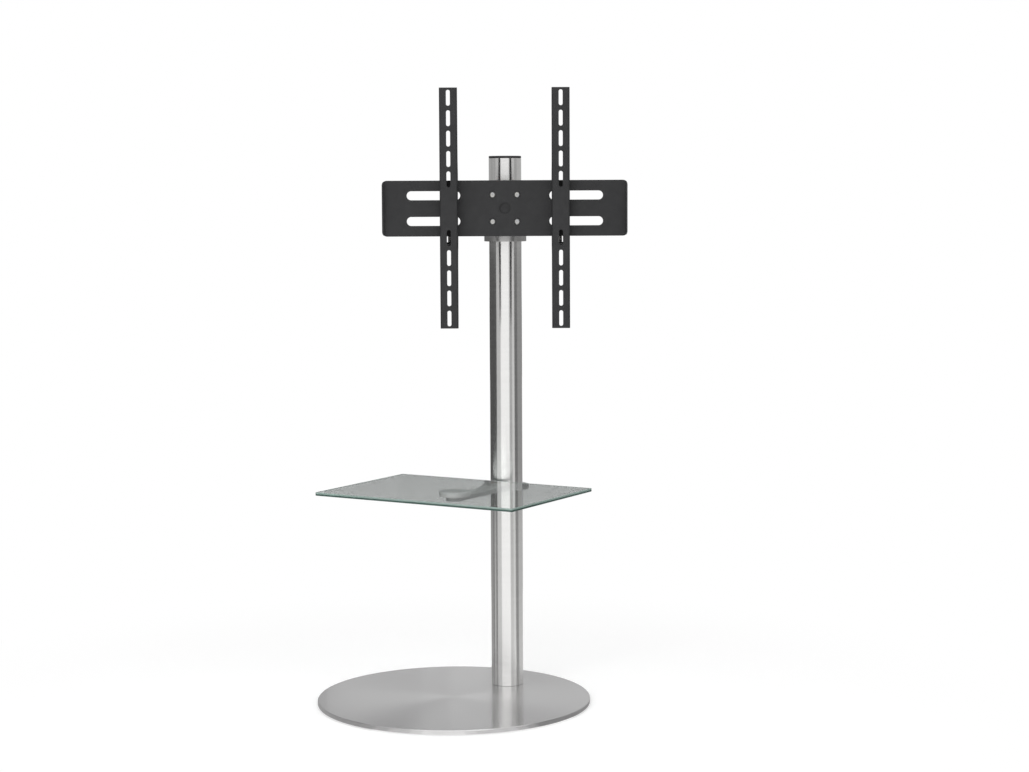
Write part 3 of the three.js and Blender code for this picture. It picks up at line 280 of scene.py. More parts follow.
def carve(piece, cutters, operation="DIFFERENCE"):
    """Cuts the cutters out of a piece, or joins them to it, and removes them."""
    piece.modifiers.clear()
    for cutter in cutters:
        cutter.modifiers.clear()
        step = piece.modifiers.new("cut", "BOOLEAN")
        step.operation = operation
        step.solver = "EXACT"
        step.object = cutter
    bpy.context.view_layer.update()
    done = bpy.data.meshes.new_from_object(piece.evaluated_get(bpy.context.evaluated_depsgraph_get()))
    done.name = piece.name
    piece.modifiers.clear()
    piece.data = reworked(done, weld)
    for cutter in cutters:
        bpy.data.objects.remove(cutter)
    return shaded(piece)


def softened(piece, edge):
    """Makes a piece one closed skin with its flat faces whole, and rounds its sharp edges."""

    def change(work):
        flatten(work)
        lines = [line for line in work.edges if line.is_manifold and line.calc_face_angle(0) > SHARP_ANGLE]
        round_off(work, lines, edge, clamp=True)

    reworked(piece.data, change)
    piece.modifiers.clear()
    return shaded(piece)


def refined(node, cutters=(), edge=SMALL_EDGE):
    """A finer copy of a node, with its openings cut again finely and its sharp edges rounded."""
    mesh = reworked(bpy.data.meshes.new(f"{node}_shell"), flatten, nodes[node].data)
    piece = finish_mesh(mesh.name, mesh, STAND)
    if cutters:
        carve(piece, cutters)
    return softened(piece, edge)


TURNS = {
    "+X": Matrix.Rotation(math.pi / 2, 4, "Y"),
    "-X": Matrix.Rotation(-math.pi / 2, 4, "Y"),
    "+Y": Matrix.Rotation(-math.pi / 2, 4, "X"),
    "-Y": Matrix.Rotation(math.pi / 2, 4, "X"),
    "+Z": Matrix.Identity(4),
    "-Z": Matrix.Rotation(math.pi, 4, "X"),
}


def stood(node, place, way, on_axis=False):
    """A frame on a node's near end, with Z along a local axis, and the node's length and radius there. It
    stands on the middle of the node, or on the local frame's own axis."""
    low, high = span(node, place)
    axis = "XYZ".index(way[1])
    start = Vector() if on_axis else (low + high) / 2
    start[axis] = low[axis] if way[0] == "+" else high[axis]
    across = [high[other] - low[other] for other in range(3) if other != axis]
    return place @ Matrix.Translation(start) @ TURNS[way], high[axis] - low[axis], max(across) / 2


# Outlines


def oblong(width, height, x=0, y=0, steps=SLOT_STEPS):
    """A slot with round ends; equal sides make a circle."""
    radius = min(width, height) / 2
    points = []
    for quarter, (side, up) in enumerate(((1, 1), (-1, 1), (-1, -1), (1, -1))):
        middle = (x + side * (width / 2 - radius), y + up * (height / 2 - radius))
        points += arc(*middle, radius, math.pi / 2 * quarter, math.pi / 2 * (quarter + 1), steps)
    following = points[1:] + points[:1]
    return [point for point, after in zip(points, following) if math.dist(point, after) > SAME_PLACE]


def rectangle(low_x, high_x, low_y, high_y, radius=0, steps=CORNER_STEPS):
    """A rectangle with round corners, which is the section of a ring too."""
    corners = [(low_x, low_y), (high_x, low_y), (high_x, high_y), (low_x, high_y)]
    return filleted(corners, radius, closed=True, steps=steps) if radius else corners


def bar(radius, low, high, edge=0):
    """Half the section of a round bar, from its axis outwards."""
    corners = [(0, low), (radius, low), (radius, high), (0, high)]
    return filleted(corners, edge) if edge else corners


def arc(x, y, radius, start, end, steps):
    """Points round a centre, from one angle to another."""
    points = []
    for step in range(steps + 1):
        turn = start + (end - start) * step / steps
        points.append((x + radius * math.cos(turn), y + radius * math.sin(turn)))
    return points


def hexagon(width, angle):
    """How far the side of a hexagon is from its middle, at an angle from one of its corners."""
    return width / 2 / math.cos(angle % (math.pi / 3) - math.pi / 6)


# Material helpers

NOISE_LIMITS = (0.3, 0.7)
FINEST_GRAIN = 0.01 * MM
FINE_GRAIN = 0.02 * MM
SMALL_GRAIN = 0.03 * MM
MIDDLE_GRAIN = 0.04 * MM
COARSE_GRAIN = 0.05 * MM
PEBBLE_GRAIN = 0.08 * MM


class Tree:
    """The node tree of a material or a world, emptied, with short calls for adding nodes."""

    def __init__(self, owner):
        owner.use_nodes = True
        self.nodes = owner.node_tree.nodes
        self.links = owner.node_tree.links
        self.nodes.clear()

    def node(self, kind, inputs=None, **settings):
        """A new node with these settings, and with its inputs linked or given their values."""
        made = self.nodes.new(f"ShaderNode{kind}")
        for key, value in settings.items():
            setattr(made, key, value)
        for socket, value in (inputs or {}).items():
            if isinstance(value, bpy.types.NodeSocket):
                self.links.new(value, made.inputs[socket])
            else:
                made.inputs[socket].default_value = value
        return made

    def out(self, kind, inputs=None, output=0, **settings):
        """An output of a new node."""
        return self.node(kind, inputs, **settings).outputs[output]

    def between(self, value, limits=NOISE_LIMITS, to=(0, 1), way="LINEAR"):
        """A value taken from its limits to others."""
        inputs = {"Value": value, "From Min": limits[0], "From Max": limits[1]}
        return self.out("MapRange", {**inputs, "To Min": to[0], "To Max": to[1]}, interpolation_type=way)

    def shown_to(self, rays):
        """One where a ray is of one of these kinds, and zero otherwise."""
        path = self.node("LightPath")
        value = path.outputs[rays[0]]
        for ray in rays[1:]:
            value = self.out("Math", {0: value, 1: path.outputs[ray]}, operation="MAXIMUM")
        return value


class Look(Tree):
    """A material's node tree, with short calls for what the materials share. Places are the piece's own."""

    def __init__(self, name, colour, roughness, metallic=0.0, **sockets):
        self.material = bpy.data.materials.new(name)
        super().__init__(self.material)
        inputs = {"Base Color": (*colour, 1), "Roughness": roughness, "Metallic": metallic}
        for socket, value in sockets.items():
            inputs[socket.replace("_", " ")] = value
        self.shader = self.node("BsdfPrincipled", inputs)
        self.node("OutputMaterial", {"Surface": self.shader.outputs["BSDF"]})
        self.place = self.out("TexCoord", output="Object")

    def scaled(self, vector, scale):
        return self.out("VectorMath", {0: vector, 1: scale}, operation="MULTIPLY")

    def noise(self, fineness, detail=2, rough=0.5):
        """Noise with one fineness, with one along each axis, or at places that are worked out already."""
        inputs = {"Vector": self.place, "Scale": 1, "Detail": detail, "Roughness": rough}
        if isinstance(fineness, bpy.types.NodeSocket):
            inputs["Vector"] = fineness
        elif isinstance(fineness, tuple):
            inputs["Vector"] = self.scaled(self.place, fineness)
        else:
            inputs["Scale"] = fineness
        return self.out("TexNoise", inputs)

    def math(self, operation, first, second):
        return self.out("Math", {0: first, 1: second}, operation=operation)

    def colours(self, value, dark, light):
        inputs = {"Factor": value, 6: (*dark, 1), 7: (*light, 1)}
        return self.out("Mix", inputs, 2, data_type="RGBA")

    def paint(self, colour, roughness, relief, strength, depth):
        """Gives the shader its colour, its roughness and a slight relief."""
        bump = self.out("Bump", {"Strength": strength, "Distance": depth, "Height": relief})
        for socket, value in (("Base Color", colour), ("Roughness", roughness), ("Normal", bump)):
            self.links.new(value, self.shader.inputs[socket])
        return self.material

    def clouded(self, cloud, colours, grain, rough, strength, depth, limits=NOISE_LIMITS):
        """Colour by one noise, and roughness and relief by another."""
        colour = self.colours(self.between(cloud, limits), *colours)
        return self.paint(colour, self.between(grain, to=rough), grain, strength, depth)

    def brushed(self, fine, broad, colours, rough, fine_share):
        """Colour and roughness by scratches of two sizes round the upright axis, which spread highlights."""
        tangent = self.out("Tangent", direction_type="RADIAL", axis="Z")
        self.links.new(tangent, self.shader.inputs["Tangent"])
        rest = self.math("MULTIPLY", broad, 1 - fine_share)
        streak = self.math("ADD", self.math("MULTIPLY", fine, fine_share), rest)
        return self.colours(self.between(streak), *colours), self.between(streak, to=rough)


# Materials

# Painted shine at the column's foot: how much brighter the tube's colour is painted, and up to what height
PAINTED_FOOT_SHINE = 1.15
PAINTED_SHINE_TOP = 130 * MM
SCATTER_DEPTH = 1.5 * MM


def brushed_tube():
    """Steel ground on a belt: fine scratches run round the tube, and highlights spread up and down it.
    Its colour is painted brighter near its foot, a painted reflection of the bright floor there."""
    look = Look("brushed_tube", (0.82, 0.814, 0.803), 0.2, 1.0, Anisotropic=0.85, Anisotropic_Rotation=0.25)
    fine = look.noise((24, 24, 4200), 3, 0.6)
    broad = look.noise((10, 10, 160))
    colours = (0.785, 0.779, 0.768), (0.855, 0.849, 0.838)
    colour, rough = look.brushed(fine, broad, colours, (0.16, 0.24), fine_share=0.7)
    height = look.out("SeparateXYZ", {0: look.place}, 2)
    # Painted reflection: the colour is lifted towards the foot, where the tube reflects the bright floor
    painted_shine = look.between(height, (0, PAINTED_SHINE_TOP), (PAINTED_FOOT_SHINE, 1))
    return look.paint(look.scaled(colour, painted_shine), rough, fine, 0.1, FINE_GRAIN)


def spun_plate():
    """Lacquered steel brushed in circles: highlights spread outwards, and scratches run round."""
    lacquer = {"Coat_Weight": 0.7, "Coat_Roughness": 0.06}
    brushing = {"Anisotropic": 0.9, "Anisotropic_Rotation": 0.25}
    look = Look("spun_plate", (0.76, 0.752, 0.756), 0.2, 1.0, **brushing, **lacquer)
    flat = look.scaled(look.place, (1, 1, 0))
    radius = look.out("VectorMath", {0: flat}, "Value", operation="LENGTH")
    way = look.node("SeparateXYZ", {0: look.out("VectorMath", {0: flat}, operation="NORMALIZE")})

    def rings(fineness, length):
        parts = (radius, fineness), (way.outputs[0], length), (way.outputs[1], length)
        return look.out("CombineXYZ", {axis: look.math("MULTIPLY", *part) for axis, part in enumerate(parts)})

    fine = look.noise(rings(3600, 5), 3, 0.6)
    colours = (0.72, 0.712, 0.716), (0.80, 0.792, 0.796)
    broad = look.noise(rings(420, 2))
    colour, rough = look.brushed(fine, broad, colours, (0.17, 0.24), fine_share=0.6)
    return look.paint(colour, rough, fine, 0.05, FINEST_GRAIN)


def turned_steel():
    """Plain machined steel with fine level rings and faint stains."""
    look = Look("turned_steel", (0.52, 0.515, 0.51), 0.32, 1.0)
    cloud = look.noise(45, 3)
    rings = look.noise((60, 60, 2600), rough=0.6)
    colours = (0.46, 0.455, 0.45), (0.56, 0.555, 0.55)
    return look.clouded(cloud, colours, rings, (0.26, 0.4), 0.15, FINE_GRAIN)


def satin_alloy():
    """Cast alloy with a pale, even satin lacquer."""
    look = Look("satin_alloy", (0.62, 0.62, 0.62), 0.44, 0.55)
    cloud = look.noise(55)
    grain = look.noise(2200, 3, 0.6)
    colours = (0.59, 0.59, 0.59), (0.66, 0.66, 0.655)
    return look.clouded(cloud, colours, grain, (0.4, 0.5), 0.2, SMALL_GRAIN)


def plate_edge():
    """The turned edge of the base plate, with fine lines round it. It is darker than the face, partly a
    duller finish and partly painted shade.
    """
    look = Look("plate_edge", (0.62, 0.615, 0.615), 0.22, 1.0)
    cloud = look.noise(30)
    lines = look.noise((40, 40, 3400), rough=0.6)
    colours = (0.59, 0.585, 0.585), (0.65, 0.645, 0.645)
    return look.clouded(cloud, colours, lines, (0.18, 0.26), 0.12, FINE_GRAIN)


def polished_steel():
    """Turned steel with a bright satin polish and fine level rings."""
    look = Look("polished_steel", (0.97, 0.965, 0.96), 0.22, 0.4)
    rings = look.noise((40, 40, 3200), rough=0.6)
    colours = (0.95, 0.945, 0.94), (0.99, 0.985, 0.98)
    return look.clouded(rings, colours, rings, (0.18, 0.26), 0.08, FINE_GRAIN)


def zinc_steel():
    """Zinc-plated steel: a little blue, a little yellow, with a soft bloom."""
    look = Look("zinc_steel", (0.5, 0.5, 0.51), 0.34, 1.0)
    cloud = look.noise(160, 3, 0.6)
    colour = look.colours(look.between(cloud), (0.42, 0.43, 0.46), (0.58, 0.565, 0.52))
    rough = look.between(cloud, to=(0.28, 0.42))
    return look.paint(colour, rough, look.noise(2400), 0.08, FINE_GRAIN)


def black_paint():
    """Fine-textured black powder coat."""
    look = Look("black_paint", (0.022, 0.022, 0.023), 0.5, Specular_IOR_Level=0.35)
    cloud = look.noise(60)
    pebble = look.noise(1500, 3, 0.55)
    colours = (0.020, 0.020, 0.021), (0.025, 0.025, 0.026)
    return look.clouded(cloud, colours, pebble, (0.42, 0.6), 0.35, PEBBLE_GRAIN)


def black_plastic():
    """Moulded black nylon with a fine spark-eroded grain."""
    look = Look("black_plastic", (0.02, 0.02, 0.021), 0.5)
    cloud = look.noise(90)
    grain = look.noise(2600, 3, 0.6)
    colours = (0.016, 0.016, 0.017), (0.026, 0.026, 0.027)
    return look.clouded(cloud, colours, grain, (0.44, 0.62), 0.25, MIDDLE_GRAIN)


def pale_nylon():
    """Natural nylon: milky, with light scattered inside it."""
    scatter = {"Subsurface_Weight": 0.25, "Subsurface_Scale": SCATTER_DEPTH}
    look = Look("pale_nylon", (0.66, 0.64, 0.58), 0.42, **scatter)
    cloud = look.noise(70)
    grain = look.noise(1200)
    colours = (0.62, 0.60, 0.54), (0.70, 0.68, 0.62)
    return look.clouded(cloud, colours, grain, (0.36, 0.5), 0.1, SMALL_GRAIN)


def black_rubber():
    """Matt black rubber with a dusty bloom."""
    look = Look("black_rubber", (0.02, 0.02, 0.02), 0.8, Specular_IOR_Level=0.3)
    cloud = look.noise(40, 3)
    grain = look.noise(1800, 3, 0.6)
    colours = (0.016, 0.016, 0.016), (0.034, 0.033, 0.032)
    return look.clouded(cloud, colours, grain, (0.72, 0.9), 0.3, COARSE_GRAIN, (0.35, 0.7))


def brown_fibre():
    """Pressed friction fibre with pale flecks."""
    look = Look("brown_fibre", (0.11, 0.065, 0.04), 0.8)
    fibre = look.noise((900, 2600, 1500), 3, 0.7)
    colours = (0.07, 0.042, 0.027), (0.20, 0.135, 0.09)
    return look.clouded(fibre, colours, fibre, (0.7, 0.9), 0.3, COARSE_GRAIN, (0.35, 0.75))


def clear_glass():
    """Clear float glass, with the faintest film of dust."""
    look = Look("clear_glass", (0.93, 0.965, 0.95), 0.0, Transmission_Weight=1.0, IOR=1.52)
    film = look.between(look.noise(35, 3), (0.45, 0.8), (0.0, 0.02))
    look.links.new(film, look.shader.inputs["Roughness"])
    return look.material


# Painted highlight on the glass's edges: shares of the glass's thickness where it starts and where it is full
PAINTED_HIGHLIGHT_START = 0.42
PAINTED_HIGHLIGHT_FULL = 0.7


def glass_edge():
    """The ground and polished edge: deep green, with a painted highlight that turns its upper part pale mint,
    and faint grinding lines.
    """
    look = Look("glass_edge", (0.2, 0.34, 0.29), 0.14, Transmission_Weight=0.35, IOR=1.52)
    low, high = span("shelf_glass", SHELF)
    height = look.out("SeparateXYZ", {0: look.place}, 2)
    limits = [low.z + share * (high.z - low.z) for share in (PAINTED_HIGHLIGHT_START, PAINTED_HIGHLIGHT_FULL)]
    lines = look.noise((30, 30, 5200))
    # The painted highlight, which lightens the edge upwards, plus the grinding lines
    highlight_and_lines = look.math("ADD", look.between(height, limits), look.between(lines, to=(-0.06, 0.06)))
    colour = look.colours(highlight_and_lines, (0.05, 0.11, 0.09), (0.44, 0.58, 0.53))
    return look.paint(colour, look.between(lines, to=(0.1, 0.2)), lines, 0.1, FINE_GRAIN)


LOOKS = {
    "brushed_steel": turned_steel(),
    "spun_steel": spun_plate(),
    "black_paint": black_paint(),
    "zinc_steel": zinc_steel(),
    "black_plastic": black_plastic(),
    "pale_nylon": pale_nylon(),
    "black_rubber": black_rubber(),
    "brown_fibre": brown_fibre(),
    "shelf_glass": clear_glass(),
}
TUBE_LOOK = brushed_tube()
EDGE_LOOK = glass_edge()
SATIN_LOOK = satin_alloy()
BOSS_LOOK = polished_steel()
PLATE_EDGE_LOOK = plate_edge()


def body_of(node):
    return nodes[node]["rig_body"]


def dress(piece, node, look=None, *others):
    """Gives a made piece its body, its material slot and its look, and lets it stand for its nodes."""
    slot = nodes[node].data.materials[0].name
    piece.data.materials.clear()
    piece.data.materials.append(look or LOOKS[slot])
    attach(piece, body_of(node))
    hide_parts(node, *others)
    return piece


def second_look(piece, look, chosen):
    """Gives a piece another look on the faces whose normals are chosen."""
    piece.data.materials.append(look)
    for face in piece.data.polygons:
        face.material_index = 1 if chosen(face.normal) else 0


# Fasteners, in mm: thread and head across, the thread's pitch, the head's height, and the key's socket

CAP_M4 = {"style": "cap", "thread": 4, "pitch": 0.7, "head": 7, "height": 4, "socket": 3, "depth": 2}
BUTTON_M6 = {"style": "button", "thread": 6, "pitch": 1, "head": 10.5, "height": 3.3, "socket": 4, "depth": 2}
BUTTON_M8 = {
    "style": "button", "thread": 8, "pitch": 1.25, "head": 14, "height": 4.4, "socket": 5, "depth": 2.6,
}
SUNK_M8 = {"style": "sunk", "thread": 8, "pitch": 1.25, "head": 16, "height": 4.6, "socket": 5, "depth": 3}
RIM_HEIGHT = 0.6 * MM
THREAD_DEPTH_SHARE = 0.55
THREAD_STEPS = 4
TIP_CHAMFER = 0.7 * MM
DOME_FLAT_SHARE = 0.56
DOME_STEPS = 8
SOCKET_CONE_SHARE = 1 / 6


def hole(kind, part="thread"):
    """The radius of a hole that a screw's thread or head goes into."""
    return kind[part] * MM / 2 + FIT_GAP


def thread_rings(radius, top, pitch):
    """A screw's tip, and rings close enough together to carry a thread up to its top."""
    length = top - TIP_CHAMFER
    count = max(2, round(length / pitch * THREAD_STEPS))
    rings = [(radius, TIP_CHAMFER + length * step / count) for step in range(count + 1)]
    return [(0, 0), (radius - TIP_CHAMFER, 0), *rings]


def thread_dip(height, angle, pitch, top):
    """How far a thread's groove reaches in, at a height and an angle."""
    phase = (height / pitch - angle / (2 * math.pi)) % 1
    return THREAD_DEPTH_SHARE * pitch * abs(2 * phase - 1) if TIP_CHAMFER < height < top else 0


def head_rings(kind, base, top):
    """The outside of a screw's head, from its bearing face or its cone to the edge of its socket."""
    radius = kind["head"] * MM / 2
    height = top - base
    if kind["style"] == "button":
        rings = []
        for step in range(DOME_STEPS + 1):
            turn = math.pi / 2 * step / DOME_STEPS
            share = DOME_FLAT_SHARE + (1 - DOME_FLAT_SHARE) * math.cos(turn)
            rings.append((radius * share, base + height * math.sin(turn)))
        return rings
    if kind["style"] == "sunk":
        return [(radius, top - RIM_HEIGHT), (radius, top)]
    return filleted([(radius, base), (radius, top), (0, top)], MIDDLE_EDGE)[:-1]


def screw(name, place, length, kind):
    """A screw that stands on its tip, with its head at the top."""
    thread = kind["thread"] * MM / 2
    pitch = kind["pitch"] * MM
    socket = kind["socket"] * MM
    base = length - kind["height"] * MM
    floor = length - kind["depth"] * MM
    profile = thread_rings(thread, base, pitch) + head_rings(kind, base, length)
    profile += [(socket, length), (socket, floor), (0, floor - socket * SOCKET_CONE_SHARE)]

    def shape(radius, height, angle):
        if radius == thread:
            return radius - thread_dip(height, angle, pitch, base - pitch / 2)
        return hexagon(socket, angle) if radius == socket else radius

    return lathe(name, profile, place, SCREW_SIDES, shape)


def make_screws(kind, place, way, *names):
    for node in names:
        where, length = stood(node, place, way)[:2]
        dress(screw(f"{node}_turned", where, length, kind), node)


def make_ring(node, place, way, bore, sides=ROUND_SIDES):
    """A washer, spacer or liner: a ring as long and as wide as its node, with its edges rounded."""
    where, length, radius = stood(node, place, way, on_axis=True)
    section = rectangle(bore, radius, 0, length, FINE_EDGE, RING_STEPS)
    dress(lathe(f"{node}_turned", section, where, sides), node)


# Cutters; a recut is a little larger than the coarse opening that it rounds

RECUT = 0.04 * MM


def rod(place, axis, radius, low, high, sides=SCREW_SIDES):
    """A round cutter along a local axis, from one coordinate to another."""
    start = Vector()
    start["XYZ".index(axis)] = low
    where = place @ Matrix.Translation(start) @ TURNS[f"+{axis}"]
    return lathe("cutter", bar(radius, 0, high - low), where, sides)


def line_of(node, place, axis):
    """A frame whose axis runs through the middle of a node, and the node's two ends along it."""
    low, high = span(node, place)
    middle = (low + high) / 2
    along = "XYZ".index(axis)
    middle[along] = 0
    return place @ Matrix.Translation(middle), low[along], high[along]


def screw_holes(names, place, axis, kind, low, high):
    """Fine cutters along an axis for the holes that these screws go through."""
    return [rod(line_of(name, place, axis)[0], axis, hole(kind) + RECUT, low, high) for name in names]


# Base

PLATE_CHAMFER = 1.2 * MM
PLATE_FOOT_CHAMFER = 0.6 * MM
RIM_SLOPE = 0.3
CENTRE_MARK_RADIUS = 1.6 * MM
CENTRE_MARK_DEPTH = 0.35 * MM
BOLTS = [f"column_bolt_{number}" for number in range(1, 5)]


def make_base():
    low, high = span("base_disc", STAND)
    radius = high.x
    corners = [
        (0, low.z), (radius - PLATE_FOOT_CHAMFER, low.z), (radius, low.z + PLATE_FOOT_CHAMFER),
        (radius, high.z - PLATE_CHAMFER), (radius - PLATE_CHAMFER, high.z),
        (CENTRE_MARK_RADIUS, high.z, 0), (0, high.z - CENTRE_MARK_DEPTH, 0),
    ]
    plate = lathe("base_plate", filleted(corners, TINY_EDGE), STAND, FINE_SIDES)
    cutters = []
    for bolt in BOLTS:
        where, length, radius = stood(bolt, STAND, "-Z")
        shank = hole(SUNK_M8)
        head = radius + FIT_GAP
        outline = [(0, 0), (shank, 0), (shank, length - SUNK_M8["height"] * MM), (head, length - RIM_HEIGHT)]
        outline += [(head, length + low.z), (0, length + low.z)]
        cutters.append(lathe("cutter", outline, where, SCREW_SIDES))
    dress(carve(plate, cutters), "base_disc")
    # The rim's sides take the darker edge look, which is partly painted shade.
    second_look(plate, PLATE_EDGE_LOOK, lambda normal: abs(normal.z) < RIM_SLOPE)
    low, high = span("base_mat", STAND)
    dress(lathe("floor_mat", bar(high.x, low.z, high.z, SMALL_EDGE), STAND, FINE_SIDES), "base_mat")
    make_screws(SUNK_M8, STAND, "-Z", *BOLTS)


# Column

COLUMN_WALL = 2 * MM
TUBE_EDGE = 0.35 * MM
GROMMET_LIP = 2.5 * MM
CAP_WEB = 1.5 * MM
CAP_WALL = 3 * MM
CAP_ROUNDING = 1.5 * MM
GROMMETS = ["cable_grommet_lower", "cable_grommet_upper"]


def slot_cutter(node, reach):
    """The oblong hole that a grommet sits in, as a cutter through the back of the tube."""
    low, high = span(node, COLUMN)
    width = high.x - low.x - 2 * GROMMET_LIP
    height = high.z - low.z - 2 * GROMMET_LIP
    return prism("cutter", oblong(width, height, 0, (low.z + high.z) / 2), 0, reach, COLUMN, "Y")


def make_column():
    low, high = span("column_tube", COLUMN)
    outer = high.x
    inner = outer - COLUMN_WALL
    seat = high.z + FIT_GAP
    corners = [(inner, low.z, 0), (outer, low.z, 0), (outer, high.z), (inner, high.z)]
    tube = lathe("column_pipe", filleted(corners, TUBE_EDGE, closed=True), COLUMN, FINE_SIDES)
    carve(tube, [slot_cutter(grommet, 2 * outer) for grommet in GROMMETS])
    dress(tube, "column_tube", TUBE_LOOK)
    for grommet in GROMMETS:
        dress(refined(grommet, edge=FINE_EDGE), grommet)

    low, high = span("column_cap", COLUMN)
    spigot = inner - FIT_GAP
    corners = [
        (0, seat - CAP_WEB, 0), (spigot - CAP_WALL, seat - CAP_WEB, 0), (spigot - CAP_WALL, low.z),
        (spigot, low.z), (spigot, seat, 0), (outer, seat, FINE_EDGE), (outer, high.z, CAP_ROUNDING),
        (0, high.z, 0),
    ]
    dress(lathe("column_lid", filleted(corners, SMALL_EDGE), COLUMN, FINE_SIDES), "column_cap")

    where, length, radius = stood("column_plug", COLUMN, "+Z", on_axis=True)
    plug = lathe("column_foot_plug", bar(radius, 0, length, SOFT_EDGE), where)
    holes = []
    for bolt in BOLTS:
        bolt_place, bolt_length = stood(bolt, STAND, "-Z")[:2]
        section = bar(hole(SUNK_M8), -2 * length, bolt_length)
        holes.append(lathe("cutter", section, bolt_place, SCREW_SIDES))
    dress(carve(plug, holes), "column_plug")


# Support ring and swivelling collar

RING_SPLIT = 3 * MM
SUPPORT_HEAD_FACE = 8.5 * MM
COLLAR_EDGE = 1.0 * MM
PAD_CORNER = 4 * MM
PAD_WIDTH = 64 * MM
BOSS_RADIUS = 13 * MM
COLLAR_BORE = 32.6 * MM
BUSH_WALL = 2 * MM
BUSH_FLANGE = 2.5 * MM
STUD_RADIUS = 4 * MM
YOKE_SCREWS = [f"yoke_screw_{number}" for number in range(1, 5)]


def make_support_ring():
    low, high = span("support_ring", COLUMN)
    section = rectangle(TUBE_FIT, high.x, low.z, high.z, SOFT_EDGE, FILLET_STEPS)
    ring = lathe("support_ring_turned", section, COLUMN, FINE_SIDES)
    reach = 2 * high.x
    line, start, end = line_of("support_ring_screw", COLUMN, "X")
    split = rectangle(-RING_SPLIT / 2, RING_SPLIT / 2, 0, reach)
    cutters = [
        prism("cutter", split, low.z - reach, high.z + reach, COLUMN),
        rod(line, "X", hole(CAP_M4), start - FIT_GAP, end),
        rod(line, "X", hole(CAP_M4, "head"), SUPPORT_HEAD_FACE, reach),
    ]
    dress(carve(ring, cutters), "support_ring")
    make_screws(CAP_M4, COLUMN, "+X", "support_ring_screw")


def collar_outline(radius, pad_face):
    """The collar from above: a round with a flat pad in front, joined by straight shoulders."""
    half = PAD_WIDTH / 2
    corner = Vector((half, pad_face + PAD_CORNER))
    touch = math.atan2(corner.y, corner.x) + math.acos(radius / corner.length)
    points = arc(half - PAD_CORNER, pad_face + PAD_CORNER, PAD_CORNER, -math.pi / 2, 0, CORNER_STEPS)
    points += arc(0, 0, radius, touch, math.pi - touch, ROUND_SIDES)
    points += arc(PAD_CORNER - half, pad_face + PAD_CORNER, PAD_CORNER, math.pi, 1.5 * math.pi, CORNER_STEPS)
    return points


def make_collar():
    low, high = span("swivel_collar", HEAD)
    body = prism("collar_body", collar_outline(high.x, low.y), low.z, high.z, HEAD, edge=COLLAR_EDGE)
    root = COLLAR_BORE / 2
    face = high.y - root
    corners = [(0, 0), (BOSS_RADIUS, 0, 0), (BOSS_RADIUS, face), (0, face)]
    boss = lathe("boss", filleted(corners, ROUND_EDGE), HEAD @ Matrix.Translation((0, root, 0)) @ TURNS["+Y"])
    carve(body, [boss], "UNION")
    reach = 2 * high.y
    cutters = [
        rod(HEAD, "Z", COLLAR_BORE, low.z - reach, high.z + reach, ROUND_SIDES),
        rod(HEAD, "Y", STUD_RADIUS + FIT_GAP, 0, reach),
    ]
    for name in YOKE_SCREWS:
        line, start, end = line_of(name, HEAD, "Y")
        cutters.append(rod(line, "Y", hole(BUTTON_M6), start, end))
    dress(carve(body, cutters), "swivel_collar")

    sleeve = TUBE_FIT + BUSH_WALL
    for node, way in (("upper_bush", "+Z"), ("lower_bush", "-Z")):
        where, length, flange = stood(node, HEAD, way, on_axis=True)
        step = length - BUSH_FLANGE
        corners = [(TUBE_FIT, 0), (sleeve, 0), (sleeve, step, 0), (flange, step), (flange, length)]
        section = filleted([*corners, (TUBE_FIT, length)], MIDDLE_EDGE, closed=True)
        dress(lathe(f"{node}_turned", section, where, FINE_SIDES), node)
    where, length, radius = stood("swivel_brake_pad", HEAD, "+Y", on_axis=True)
    section = bar(radius, 0, length, SMALL_EDGE)
    dress(lathe("brake_pad_turned", section, where, SCREW_SIDES), "swivel_brake_pad")


# Knobs, stud, axle and washers

SWIVEL_KNOB = {"lobes": 6, "dip": 5, "hub": 20, "hub_height": 7, "bore": 8.6, "depth": 16}
TILT_KNOB = {"lobes": 5, "dip": 5, "hub": 18, "hub_height": 9, "bore": 10.6, "depth": 17}
KNOB_ROUNDING = 3 * MM
KNOB_DISH_SHARE = 0.42
KNOB_DISH_DEPTH = 0.8 * MM
STUD_PITCH = 1.25 * MM
AXLE_RADIUS = 5 * MM
AXLE_HOLE = AXLE_RADIUS + FIT_GAP
AXLE_HEAD_WIDTH = 17 * MM
AXLE_HEAD_HEIGHT = 6.4 * MM
AXLE_CHAMFER_WIDTH = 1.2 * MM
AXLE_CHAMFER_HEIGHT = 0.7 * MM


def knob(name, place, length, radius, kind):
    """A hand knob with round lobes, standing on its hub, with a dished face and a blind bore."""
    hub = kind["hub"] * MM / 2
    rise = kind["hub_height"] * MM
    bore = kind["bore"] * MM / 2
    depth = kind["depth"] * MM
    dish = radius * KNOB_DISH_SHARE
    floor = length - KNOB_DISH_DEPTH
    corners = [
        (0, depth, 0), (bore, depth, 0), (bore, 0), (hub, 0), (hub, rise, ROUND_EDGE),
        (radius, rise, KNOB_ROUNDING), (radius, length, KNOB_ROUNDING), (dish, length),
        (dish - KNOB_DISH_DEPTH, floor), (0, floor, 0),
    ]

    def shape(ring, height, angle):
        share = max(0, (ring - hub) / (radius - hub))
        return ring - kind["dip"] * MM * share * (1 - math.cos(kind["lobes"] * angle)) / 2

    return lathe(name, filleted(corners, SMALL_EDGE, steps=KNOB_STEPS), place, KNOB_SIDES, shape)


